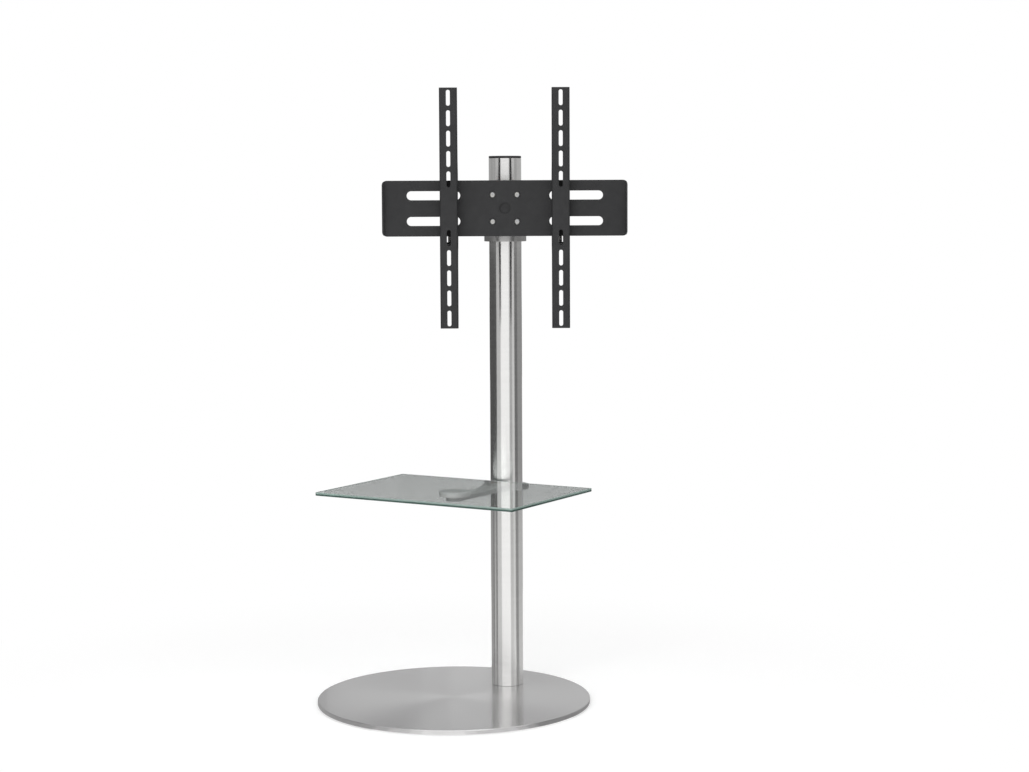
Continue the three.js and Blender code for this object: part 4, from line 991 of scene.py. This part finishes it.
def make_knobs():
    for node, place, way, kind in (
        ("swivel_lock_knob", HEAD, "+Y", SWIVEL_KNOB),
        ("tilt_knob", TILT, "+X", TILT_KNOB),
    ):
        where, length = stood(node, place, way, on_axis=True)[:2]
        low, high = span(node, place)
        radius = max(high.z, -low.z) if way == "+X" else high.x
        dress(knob(f"{node}_moulded", where, length, radius, kind), node)

    where, length, radius = stood("swivel_lock_stud", HEAD, "+Y", on_axis=True)
    top = length - TIP_CHAMFER
    profile = [*thread_rings(radius, top, STUD_PITCH), (radius - TIP_CHAMFER, length), (0, length)]

    def shape(ring, height, angle):
        return ring - thread_dip(height, angle, STUD_PITCH, top)

    dress(lathe("lock_stud_turned", profile, where, SCREW_SIDES, shape), "swivel_lock_stud")


def make_axle():
    where, length = stood("tilt_axle", TILT, "+X", on_axis=True)[:2]
    corner = AXLE_HEAD_WIDTH / 2
    profile = [
        (0, 0), (corner - AXLE_CHAMFER_WIDTH, 0), (corner, AXLE_CHAMFER_HEIGHT), (corner, AXLE_HEAD_HEIGHT),
        (AXLE_RADIUS, AXLE_HEAD_HEIGHT), (AXLE_RADIUS, length - TIP_CHAMFER),
        (AXLE_RADIUS - TIP_CHAMFER, length), (0, length),
    ]

    def shape(ring, height, angle):
        return hexagon(AXLE_HEAD_WIDTH, angle) if ring == corner else ring

    dress(lathe("tilt_axle_turned", profile, where, SCREW_SIDES, shape), "tilt_axle")
    washers = [f"{kind}_washer_{side}" for kind in ("axle", "friction") for side in ("left", "right")]
    for node in (*washers, "axle_spacer"):
        make_ring(node, TILT, "+X", AXLE_HOLE)


# Sheet parts of the head

GUIDE_RADIUS = 26 * MM
GUIDE_WIDTH = 6.8 * MM
GUIDE_ENDS = (-6, 16)
WINDOW_WIDTH = 96 * MM
WINDOW_HEIGHT = 16 * MM
WINDOW_PLACE = (128 * MM, 23 * MM)
CENTRE_HOLE = 20 * MM
PLATE_SCREWS = [f"plate_screw_{number}" for number in range(1, 5)]
GUIDE_SCREWS = {"left": "-X", "right": "+X"}


def guide_slot(low, high):
    """The bent slots of the yoke, as one cutter across both of its sides."""
    half = GUIDE_WIDTH / 2 + RECUT
    start, end = [math.radians(angle) for angle in GUIDE_ENDS]
    first, last = [(GUIDE_RADIUS * math.cos(angle), GUIDE_RADIUS * math.sin(angle)) for angle in (start, end)]
    points = arc(0, 0, GUIDE_RADIUS + half, start, end, GUIDE_STEPS)
    points += arc(*last, half, end, end + math.pi, SLOT_STEPS)[1:]
    points += arc(0, 0, GUIDE_RADIUS - half, end, start, GUIDE_STEPS)[1:]
    points += arc(*first, half, start + math.pi, start + 2 * math.pi, SLOT_STEPS)[1:-1]
    return prism("cutter", points, low, high, TILT, "X")


def make_head_sheets():
    low, high = span("yoke", HEAD)
    reach = 2 * high.x
    cutters = screw_holes(YOKE_SCREWS, HEAD, "Y", BUTTON_M6, low.y + high.x, 0)
    cutters.append(rod(TILT, "X", AXLE_HOLE + RECUT, -reach, reach))
    cutters.append(guide_slot(-reach, reach))
    dress(refined("yoke", cutters), "yoke")
    make_screws(BUTTON_M6, HEAD, "-Y", *YOKE_SCREWS)

    low = span("tilt_bracket", TILT)[0]
    cutters = screw_holes(PLATE_SCREWS, TILT, "Y", BUTTON_M6, 2 * low.y, low.y / 2)
    cutters.append(rod(TILT, "X", AXLE_HOLE + RECUT, -reach, reach))
    cutters += screw_holes(["tilt_guide_screw_right"], TILT, "X", BUTTON_M6, -reach, reach)
    dress(refined("tilt_bracket", cutters), "tilt_bracket")
    for side, way in GUIDE_SCREWS.items():
        make_screws(BUTTON_M6, TILT, way, f"tilt_guide_screw_{side}")

    low = span("cross_plate", TILT)[0]
    cutters = screw_holes(PLATE_SCREWS, TILT, "Y", BUTTON_M6, 2 * low.y, 0)
    cutters.append(rod(TILT, "Y", CENTRE_HOLE / 2 + RECUT, 2 * low.y, 0, ROUND_SIDES))
    size = (WINDOW_WIDTH + 2 * RECUT, WINDOW_HEIGHT + 2 * RECUT)
    for side, up in ((-1, -1), (-1, 1), (1, -1), (1, 1)):
        outline = oblong(*size, side * WINDOW_PLACE[0], up * WINDOW_PLACE[1])
        cutters.append(prism("cutter", outline, 2 * low.y, 0, TILT, "Y"))
    dress(refined("cross_plate", cutters), "cross_plate")
    make_screws(BUTTON_M6, TILT, "-Y", *PLATE_SCREWS)


# Arms

ARM_SHEET = 2.5 * MM
ARM_BEND = 3.5 * MM
ARM_END_DEPTH = 14 * MM
ARM_ROOT_DEPTH = 24 * MM
ARM_ROOT_HEIGHT = 84 * MM
HOOK_DEPTH = 8 * MM
HOOK_DROP = 10 * MM
HOOK_BACK = 12 * MM
FOOT_HEIGHT = 13 * MM
FOOT_REACH = 12 * MM
PLATE_SHEET = 3 * MM
ARM_SLOT_WIDTH = 7 * MM
ARM_SLOT_BRIDGE = 8 * MM
ARM_SLOTS_FROM = 34 * MM
ARM_SLOT_COUNT = 5
ARM_SLOT_STEPS = 8
RIDGE_COUNT = 20
RIDGE_DEPTH = 0.7 * MM
RIDGE_WIDTH_SHARE = 0.25
THUMB_HEAD_HEIGHT = 10 * MM
THUMB_DISH_DEPTH = 1 * MM
THUMB_EDGE = 0.7 * MM
M6_PITCH = 1 * MM


def arm_side(face, end, plate_back, plate_top):
    """The arm from the side, in (y, z): a tapered flange with a hook over the plate and a foot under it."""
    top = plate_top + FIT_GAP
    plate_side = plate_back - PLATE_SHEET - FIT_GAP
    hook_side = plate_back + FIT_GAP
    foot = plate_back + FOOT_REACH
    return [
        (face, -end), (face + ARM_END_DEPTH, -end), (face + ARM_ROOT_DEPTH, -ARM_ROOT_HEIGHT),
        (foot, -top - FOOT_HEIGHT), (foot, -top), (plate_side, -top), (plate_side, top), (hook_side, top),
        (hook_side, top - HOOK_DROP), (hook_side + HOOK_DEPTH, top - HOOK_DROP),
        (hook_side + HOOK_DEPTH, top + HOOK_BACK), (face + ARM_ROOT_DEPTH, ARM_ROOT_HEIGHT),
        (face + ARM_END_DEPTH, end), (face, end),
    ]


def make_arm(side):
    node = f"{side}_arm"
    low, high = span(node, TILT)
    half = (high.x - low.x) / 2
    end = high.z
    plate = span("cross_plate", TILT)[1]
    foot = -(plate.z + FIT_GAP + FOOT_HEIGHT)
    place = TILT @ Matrix.Translation(((low.x + high.x) / 2, 0, 0))
    outline = arm_side(low.y, end, plate.y, plate.z)
    tab = rectangle(-half, half, plate.y, plate.y + FOOT_REACH)
    whole = prism("arm", outline, -half, ARM_SHEET - half, place, "X")
    others = [
        prism("web", rectangle(-half, half, -end, end), low.y, low.y + ARM_SHEET, place, "Y"),
        prism("other", outline, half - ARM_SHEET, half, place, "X"),
        prism("tab", tab, foot, foot + ARM_SHEET, place),
    ]
    carve(whole, others, "UNION")
    plan = rectangle(-half, half, low.y, high.y + 2 * ARM_BEND, ARM_BEND)
    carve(whole, [prism("plan", plan, -2 * end, 2 * end, place)], "INTERSECT")
    pitch = (end - ARM_SLOTS_FROM) / ARM_SLOT_COUNT
    cutters = []
    for up in (-1, 1):
        for index in range(ARM_SLOT_COUNT):
            height = up * (ARM_SLOTS_FROM + (index + 0.5) * pitch)
            slot = oblong(ARM_SLOT_WIDTH, pitch - ARM_SLOT_BRIDGE, 0, height, ARM_SLOT_STEPS)
            cutters.append(prism("cutter", slot, low.y - ARM_SHEET, low.y + 2 * ARM_SHEET, place, "Y"))
    line = line_of(f"{node}_lock_screw", place, "Z")[0]
    cutters.append(rod(line, "Z", hole(BUTTON_M6), foot - ARM_SHEET, foot + 2 * ARM_SHEET))
    carve(whole, cutters)
    whole.name = f"{node}_shell"
    dress(softened(whole, SMALL_EDGE), node)


def make_lock_screw(side):
    node = f"{side}_arm_lock_screw"
    where, length, radius = stood(node, TILT, "-Z")
    thread = BUTTON_M6["thread"] * MM / 2
    base = length - THUMB_HEAD_HEIGHT
    top = base - M6_PITCH / 2
    dish = radius / 2
    floor = length - THUMB_DISH_DEPTH
    head = [(thread, base, 0), (radius, base), (radius, length), (dish, length)]
    head += [(dish - THUMB_DISH_DEPTH, floor), (0, floor)]
    profile = thread_rings(thread, base, M6_PITCH) + filleted(head, THUMB_EDGE)[1:]

    def shape(ring, height, angle):
        if height < top:
            return ring - thread_dip(height, angle, M6_PITCH, top)
        share = max(0, 1 - (1 - ring / radius) / RIDGE_WIDTH_SHARE)
        return ring - share * RIDGE_DEPTH * (1 - math.cos(RIDGE_COUNT * angle)) / 2

    dress(lathe(f"{node}_turned", profile, where, KNOB_SIDES, shape), node)


# Shelf

FLAT_NORMAL = 0.999
GLASS_CORNER = 3 * MM
BOSS_FLOOR = 1.5 * MM
SINK_DEPTH = 4.8 * MM
CLAMP_BORE = 32.1 * MM
CLAMP_HEAD_FACE = 8 * MM


def make_glass():
    """The glass, with its back edge clear and the other edges green."""
    low, high = span("shelf_glass", SHELF)
    outline = rectangle(low.x, high.x, low.y, high.y, GLASS_CORNER)
    glass = prism("glass_shelf", outline, low.z, high.z, SHELF, edge=ROUND_EDGE)
    glass.visible_shadow = False
    back = (SHELF.to_3x3() @ Vector((0, 1, 0))).normalized()
    dress(glass, "shelf_glass")
    second_look(glass, EDGE_LOOK, lambda normal: max(abs(normal.z), normal.dot(back)) <= FLAT_NORMAL)


def make_shelf_boss():
    where, length, radius = stood("shelf_disc", SHELF, "+Z")
    bore = hole(BUTTON_M8)
    floor = length - BOSS_FLOOR
    corners = [(0, floor), (bore, floor), (bore, 0), (radius, 0, ROUND_EDGE), (radius, length, ROUND_EDGE)]
    boss = lathe("glass_boss", filleted([*corners, (0, length)], TINY_EDGE), where, FINE_SIDES)
    dress(boss, "shelf_disc", BOSS_LOOK)
    second_look(boss, SATIN_LOOK, lambda normal: normal.z > FLAT_NORMAL)
    make_screws(BUTTON_M8, SHELF, "-Z", "shelf_screw")


def make_clamp():
    low, high = span("shelf_bracket", SHELF)
    boss_low, boss_high = span("shelf_disc", SHELF)
    centre = SHELF @ Matrix.Translation((0, (boss_low.y + boss_high.y) / 2, 0))
    deep = 4 * CLAMP_BORE

    def clamp_cutters():
        cutters = [rod(SHELF, "Z", CLAMP_BORE + RECUT, low.z - deep, high.z + deep, FINE_SIDES)]
        for side in ("left", "right"):
            line, start, end = line_of(f"clamp_screw_{side}", SHELF, "Y")
            cutters.append(rod(line, "Y", hole(CAP_M4) + RECUT, start - FIT_GAP, CLAMP_HEAD_FACE))
            cutters.append(rod(line, "Y", hole(CAP_M4, "head") + RECUT, CLAMP_HEAD_FACE - RECUT, deep))
        return cutters

    holes = [
        rod(centre, "Z", hole(BUTTON_M8) + RECUT, low.z - deep, high.z + deep),
        rod(centre, "Z", hole(BUTTON_M8, "head") + RECUT, low.z - deep, low.z + SINK_DEPTH),
    ]
    dress(refined("shelf_bracket", clamp_cutters() + holes), "shelf_bracket", SATIN_LOOK)
    dress(refined("shelf_clamp_rear", clamp_cutters()), "shelf_clamp_rear", SATIN_LOOK)
    make_screws(CAP_M4, SHELF, "+Y", "clamp_screw_left", "clamp_screw_right")
    make_ring("shelf_liner", SHELF, "+Z", TUBE_FIT, FINE_SIDES)


make_base()
make_column()
make_support_ring()
make_collar()
make_knobs()
make_axle()
make_head_sheets()
for arm_name in ("left", "right"):
    make_arm(arm_name)
    make_lock_screw(arm_name)
make_glass()
make_shelf_boss()
make_clamp()

for item in nodes.values():
    if not item.hide_render:
        item.material_slots[0].material = LOOKS[item.data.materials[0].name]

# Camera, at the photograph's angle

IMAGE_WIDTH = 1029
FOCAL_PIXELS = 2150
SENSOR_WIDTH = 36
CAMERA_DISTANCE = 3.994
CAMERA_SIDE = 0.0158
CAMERA_HEIGHT = 0.945
CAMERA_AZIMUTH = math.radians(42.5)
CAMERA_PITCH = math.radians(5.32)
CAMERA_ROLL = math.radians(-0.27)
FAR_LIMIT = 100

right = Vector((math.cos(CAMERA_AZIMUTH), math.sin(CAMERA_AZIMUTH), 0))
level = Vector((-math.sin(CAMERA_AZIMUTH), math.cos(CAMERA_AZIMUTH), 0))


def make_camera():
    data = bpy.data.cameras.new("camera")
    data.sensor_width = SENSOR_WIDTH
    data.lens = FOCAL_PIXELS * SENSOR_WIDTH / IMAGE_WIDTH
    data.clip_end = FAR_LIMIT
    place = column_place + right * CAMERA_SIDE - level * CAMERA_DISTANCE
    place.z = CAMERA_HEIGHT
    tilt = Matrix.Rotation(math.pi / 2 - CAMERA_PITCH, 4, "X") @ Matrix.Rotation(CAMERA_ROLL, 4, "Z")
    camera = add_object("camera", data)
    camera.matrix_world = turned_frame(place, CAMERA_AZIMUTH) @ tilt
    bpy.context.scene.camera = camera


# Floor, backdrop and light

SEEN_RAYS = ("Is Camera Ray", "Is Glossy Ray", "Is Transmission Ray")
ROOM_LIGHT = 0.42
ROOM_COLOUR = (1, 1, 1, 1)
FLOOR_SIZE = 30
FLOOR_COLOUR = (0.8, 0.8, 0.8, 1)
FLOOR_LIFT = 0.28
FLOOR_FADE = (0.35, 1.1)


def make_world():
    """An even white room, which lights the stand less than it shows."""
    world = bpy.data.worlds.new("studio")
    bpy.context.scene.world = world
    tree = Tree(world)
    strength = tree.between(tree.shown_to(SEEN_RAYS), (0, 1), (ROOM_LIGHT, 1))
    background = tree.out("Background", {"Color": ROOM_COLOUR, "Strength": strength})
    tree.node("OutputWorld", {"Surface": background})


def make_floor():
    """A white paper floor, which fades into the room away from the stand."""
    half = FLOOR_SIZE / 2
    corners = [(across, along, 0) for across, along in rectangle(-half, half, -half, half)]
    mesh = new_mesh("floor", corners, [(0, 1, 2, 3)])
    floor = add_object("floor", mesh)
    material = bpy.data.materials.new("floor")
    mesh.materials.append(material)
    tree = Tree(material)
    paper = tree.out("BsdfDiffuse", {"Color": FLOOR_COLOUR})
    near = tree.out("AddShader", {0: paper, 1: tree.out("Emission", {"Strength": FLOOR_LIFT})})
    place = tree.out("TexCoord", output="Object")
    distance = tree.out("VectorMath", {0: place}, "Value", operation="LENGTH")
    fade = tree.between(distance, FLOOR_FADE, way="SMOOTHSTEP")
    seen = tree.out("MixShader", {0: fade, 1: near, 2: tree.out("Emission")})
    whole = tree.out("MixShader", {0: tree.shown_to(SEEN_RAYS), 1: paper, 2: seen})
    tree.node("OutputMaterial", {"Surface": whole})


def around(azimuth, distance, height, centre=column_place):
    """A place round the column, or another centre: azimuth 0 is towards the camera, and positive is to
    its right."""
    turn = math.radians(azimuth)
    way = right * math.sin(turn) - level * math.cos(turn)
    return centre + way * distance + Vector((0, 0, height))


# Lamps: name, azimuth, distance, height, width and length of the face, and brightness, where 1 lights as
# white paper does
LAMPS = (
    ("key", -22, 4.2, 2.3, 3.2, 2.6, 3.0),
    ("fill", 62, 4.0, 1.6, 2.0, 2.4, 1.2),
    ("top", 0, 0.3, 3.2, 2.8, 2.8, 1.7),
)
LAMP_AIM = 0.5


def make_lamp(name, azimuth, distance, height, width, length, brightness):
    """A rectangular lamp that faces the middle of the column and that no mirror or camera sees."""
    data = bpy.data.lights.new(name, "AREA")
    data.shape = "RECTANGLE"
    data.size = width
    data.size_y = length
    data.energy = brightness * math.pi * width * length
    place = around(azimuth, distance, height)
    way = around(0, 0, LAMP_AIM) - place
    lamp = add_object(name, data)
    lamp.matrix_world = Matrix.Translation(place) @ way.to_track_quat("-Z", "Y").to_matrix().to_4x4()
    lamp.visible_camera = False
    lamp.visible_glossy = False


SEE_THROUGH_LIMIT = 0.08
CARD_STEPS = 24
WALL_DISTANCE = 1.0
SCREEN_DISTANCE = 0.55
SHEET_START = 0.12
CARD_LIFT = 1 * MM
WALL_STEP = 0.22
FADE_HEIGHTS = (WALL_STEP, 0.38)
FADED_SHARE = 0.85
FADED_LIMIT = 0.5
FADED_TOP = 0.85
WALL_TOP = 1.6
SCREEN_HEIGHTS = (0.287, 0.858)
BEHIND_DARK_HEIGHTS = (0.5, 0.68)
DARK_CARD = 0.06


def card(name, azimuths, line, brightness, faded=None, centre=column_place):
    """A card round the column, this bright, which only shiny surfaces see. It sweeps a line between two
    (distance, height) points from one azimuth to another, and may fade upwards to another brightness."""
    vertices = []
    for step in range(CARD_STEPS + 1):
        azimuth = azimuths[0] + (azimuths[1] - azimuths[0]) * step / CARD_STEPS
        vertices += [around(azimuth, distance, height, centre) for distance, height in line]
    corners = range(0, 2 * CARD_STEPS, 2)
    mesh = new_mesh(name, vertices, [(corner, corner + 2, corner + 3, corner + 1) for corner in corners])
    material = bpy.data.materials.new(name)
    mesh.materials.append(material)
    tree = Tree(material)
    strength = brightness
    if faded is not None:
        height = tree.out("SeparateXYZ", {0: tree.out("TexCoord", output="Object")}, 2)
        strength = tree.between(height, FADE_HEIGHTS, (brightness, faded), "SMOOTHSTEP")
    tree.node("OutputMaterial", {"Surface": tree.out("Emission", {"Strength": strength})})
    made = add_object(name, mesh)
    made.visible_camera = False
    made.visible_diffuse = False
    made.visible_shadow = False
    made.visible_transmission = brightness < SEE_THROUGH_LIMIT


# Near screens that the upper column sees: name, azimuths, brightness
SCREENS = (
    ("screen_left", (-155, -68), 0.085),
    ("screen_left_side", (-68, -37), 0.56),
    ("screen_front", (-37, 24), 1.02),
    ("screen_right_gap", (24, 44), 0.43),
    ("screen_right_strip", (44, 62), 0.66),
    ("screen_right_dark", (62, 88), 0.16),
    ("screen_right", (88, 155), 0.29),
)

# Sheets on the floor and walls behind them: name, azimuths, and the brightness of the sheet and of the low
# and the high wall. The high wall fades where the base plate and the shelf see it from other sides.
WALLS = (
    ("left", (-155, -112), 0.36, 0.32, 0.40),
    ("left_dark", (-112, -100), 0.22, 0.19, 0.36),
    ("left_light", (-100, -82), 0.51, 0.45, 0.42),
    ("left_line", (-82, -69), 0.23, 0.24, 0.40),
    ("left_side", (-69, -37), 0.73, 0.63, 0.56),
    ("front", (-37, 27), 1.12, 1.05, 1.0),
    ("right_gap", (27, 50), 0.73, 0.50, 0.60),
    ("right_side", (50, 67), 0.80, 0.70, 0.62),
    ("right_dark", (67, 92), 0.31, 0.27, 0.40),
    ("right", (92, 155), 0.58, 0.50, 0.48),
)

# Floor strips that the plate's rim sees, round the plate's centre: name, azimuths, brightness
RIM_STRIPS = (
    ("rim_left", (-150, -34), 0.45),
    ("rim_left_middle", (-34, -27), 0.6),
    ("rim_left_front", (-27, -17), 0.8),
    ("rim_left_of_front", (-17, -12), 0.98),
    ("rim_front", (-12, 6), 1.15),
    ("rim_right_of_front", (6, 11), 1.0),
    ("rim_right_front", (11, 29), 0.85),
    ("rim_right_middle", (29, 34), 0.68),
    ("rim_right_side", (34, 39), 0.5),
    ("rim_right", (39, 150), 0.35),
    ("rim_behind", (150, 210), 0.4),
)
RIM_STRIP_GAP = 1 * MM
RIM_STRIP_WIDTH = 40 * MM

# What the base plate sees behind the column: name, azimuths, brightness
BEHIND_WALLS = (
    ("behind_right", (155, 179), 0.53),
    ("behind_right_middle", (179, 183), 0.57),
    ("behind_middle", (183, 188), 0.61),
    ("behind_left_middle", (188, 192), 0.57),
    ("behind_left", (192, 205), 0.53),
)
BEHIND_TOP = 0.45


def make_lights():
    for lamp in LAMPS:
        make_lamp(*lamp)

    def wall(low, high):
        return [(WALL_DISTANCE, low), (WALL_DISTANCE, high)]

    screen = [(SCREEN_DISTANCE, height) for height in SCREEN_HEIGHTS]
    for name, azimuths, brightness in SCREENS:
        card(name, azimuths, screen, brightness)
    sheet = [(SHEET_START, CARD_LIFT), (WALL_DISTANCE, CARD_LIFT)]
    for name, azimuths, sheet_brightness, low_brightness, high_brightness in WALLS:
        card(f"wall_low_{name}", azimuths, wall(CARD_LIFT, WALL_STEP), low_brightness)
        faded = min(high_brightness * FADED_SHARE, FADED_LIMIT)
        card(f"wall_middle_{name}", azimuths, wall(WALL_STEP, FADED_TOP), high_brightness, faded)
        card(f"wall_high_{name}", azimuths, wall(FADED_TOP, WALL_TOP), high_brightness)
        card(f"sheet_{name}", azimuths, sheet, sheet_brightness)
    rim = span("base_disc", STAND)[1].x + RIM_STRIP_GAP
    strip = [(rim, 2 * CARD_LIFT), (rim + RIM_STRIP_WIDTH, 2 * CARD_LIFT)]
    for name, azimuths, brightness in RIM_STRIPS:
        card(name, azimuths, strip, brightness, centre=Vector())
    dark_low, dark_high = BEHIND_DARK_HEIGHTS
    for name, azimuths, brightness in BEHIND_WALLS:
        card(name, azimuths, wall(CARD_LIFT, dark_low), brightness)
    behind = (BEHIND_WALLS[0][1][0], BEHIND_WALLS[-1][1][1])
    card("behind_dark", behind, wall(dark_low, dark_high), DARK_CARD)
    card("behind_top", behind, wall(dark_high, WALL_TOP), BEHIND_TOP)


make_camera()
make_world()
make_floor()
make_lights()
bpy.context.scene.view_settings.view_transform = "Standard"
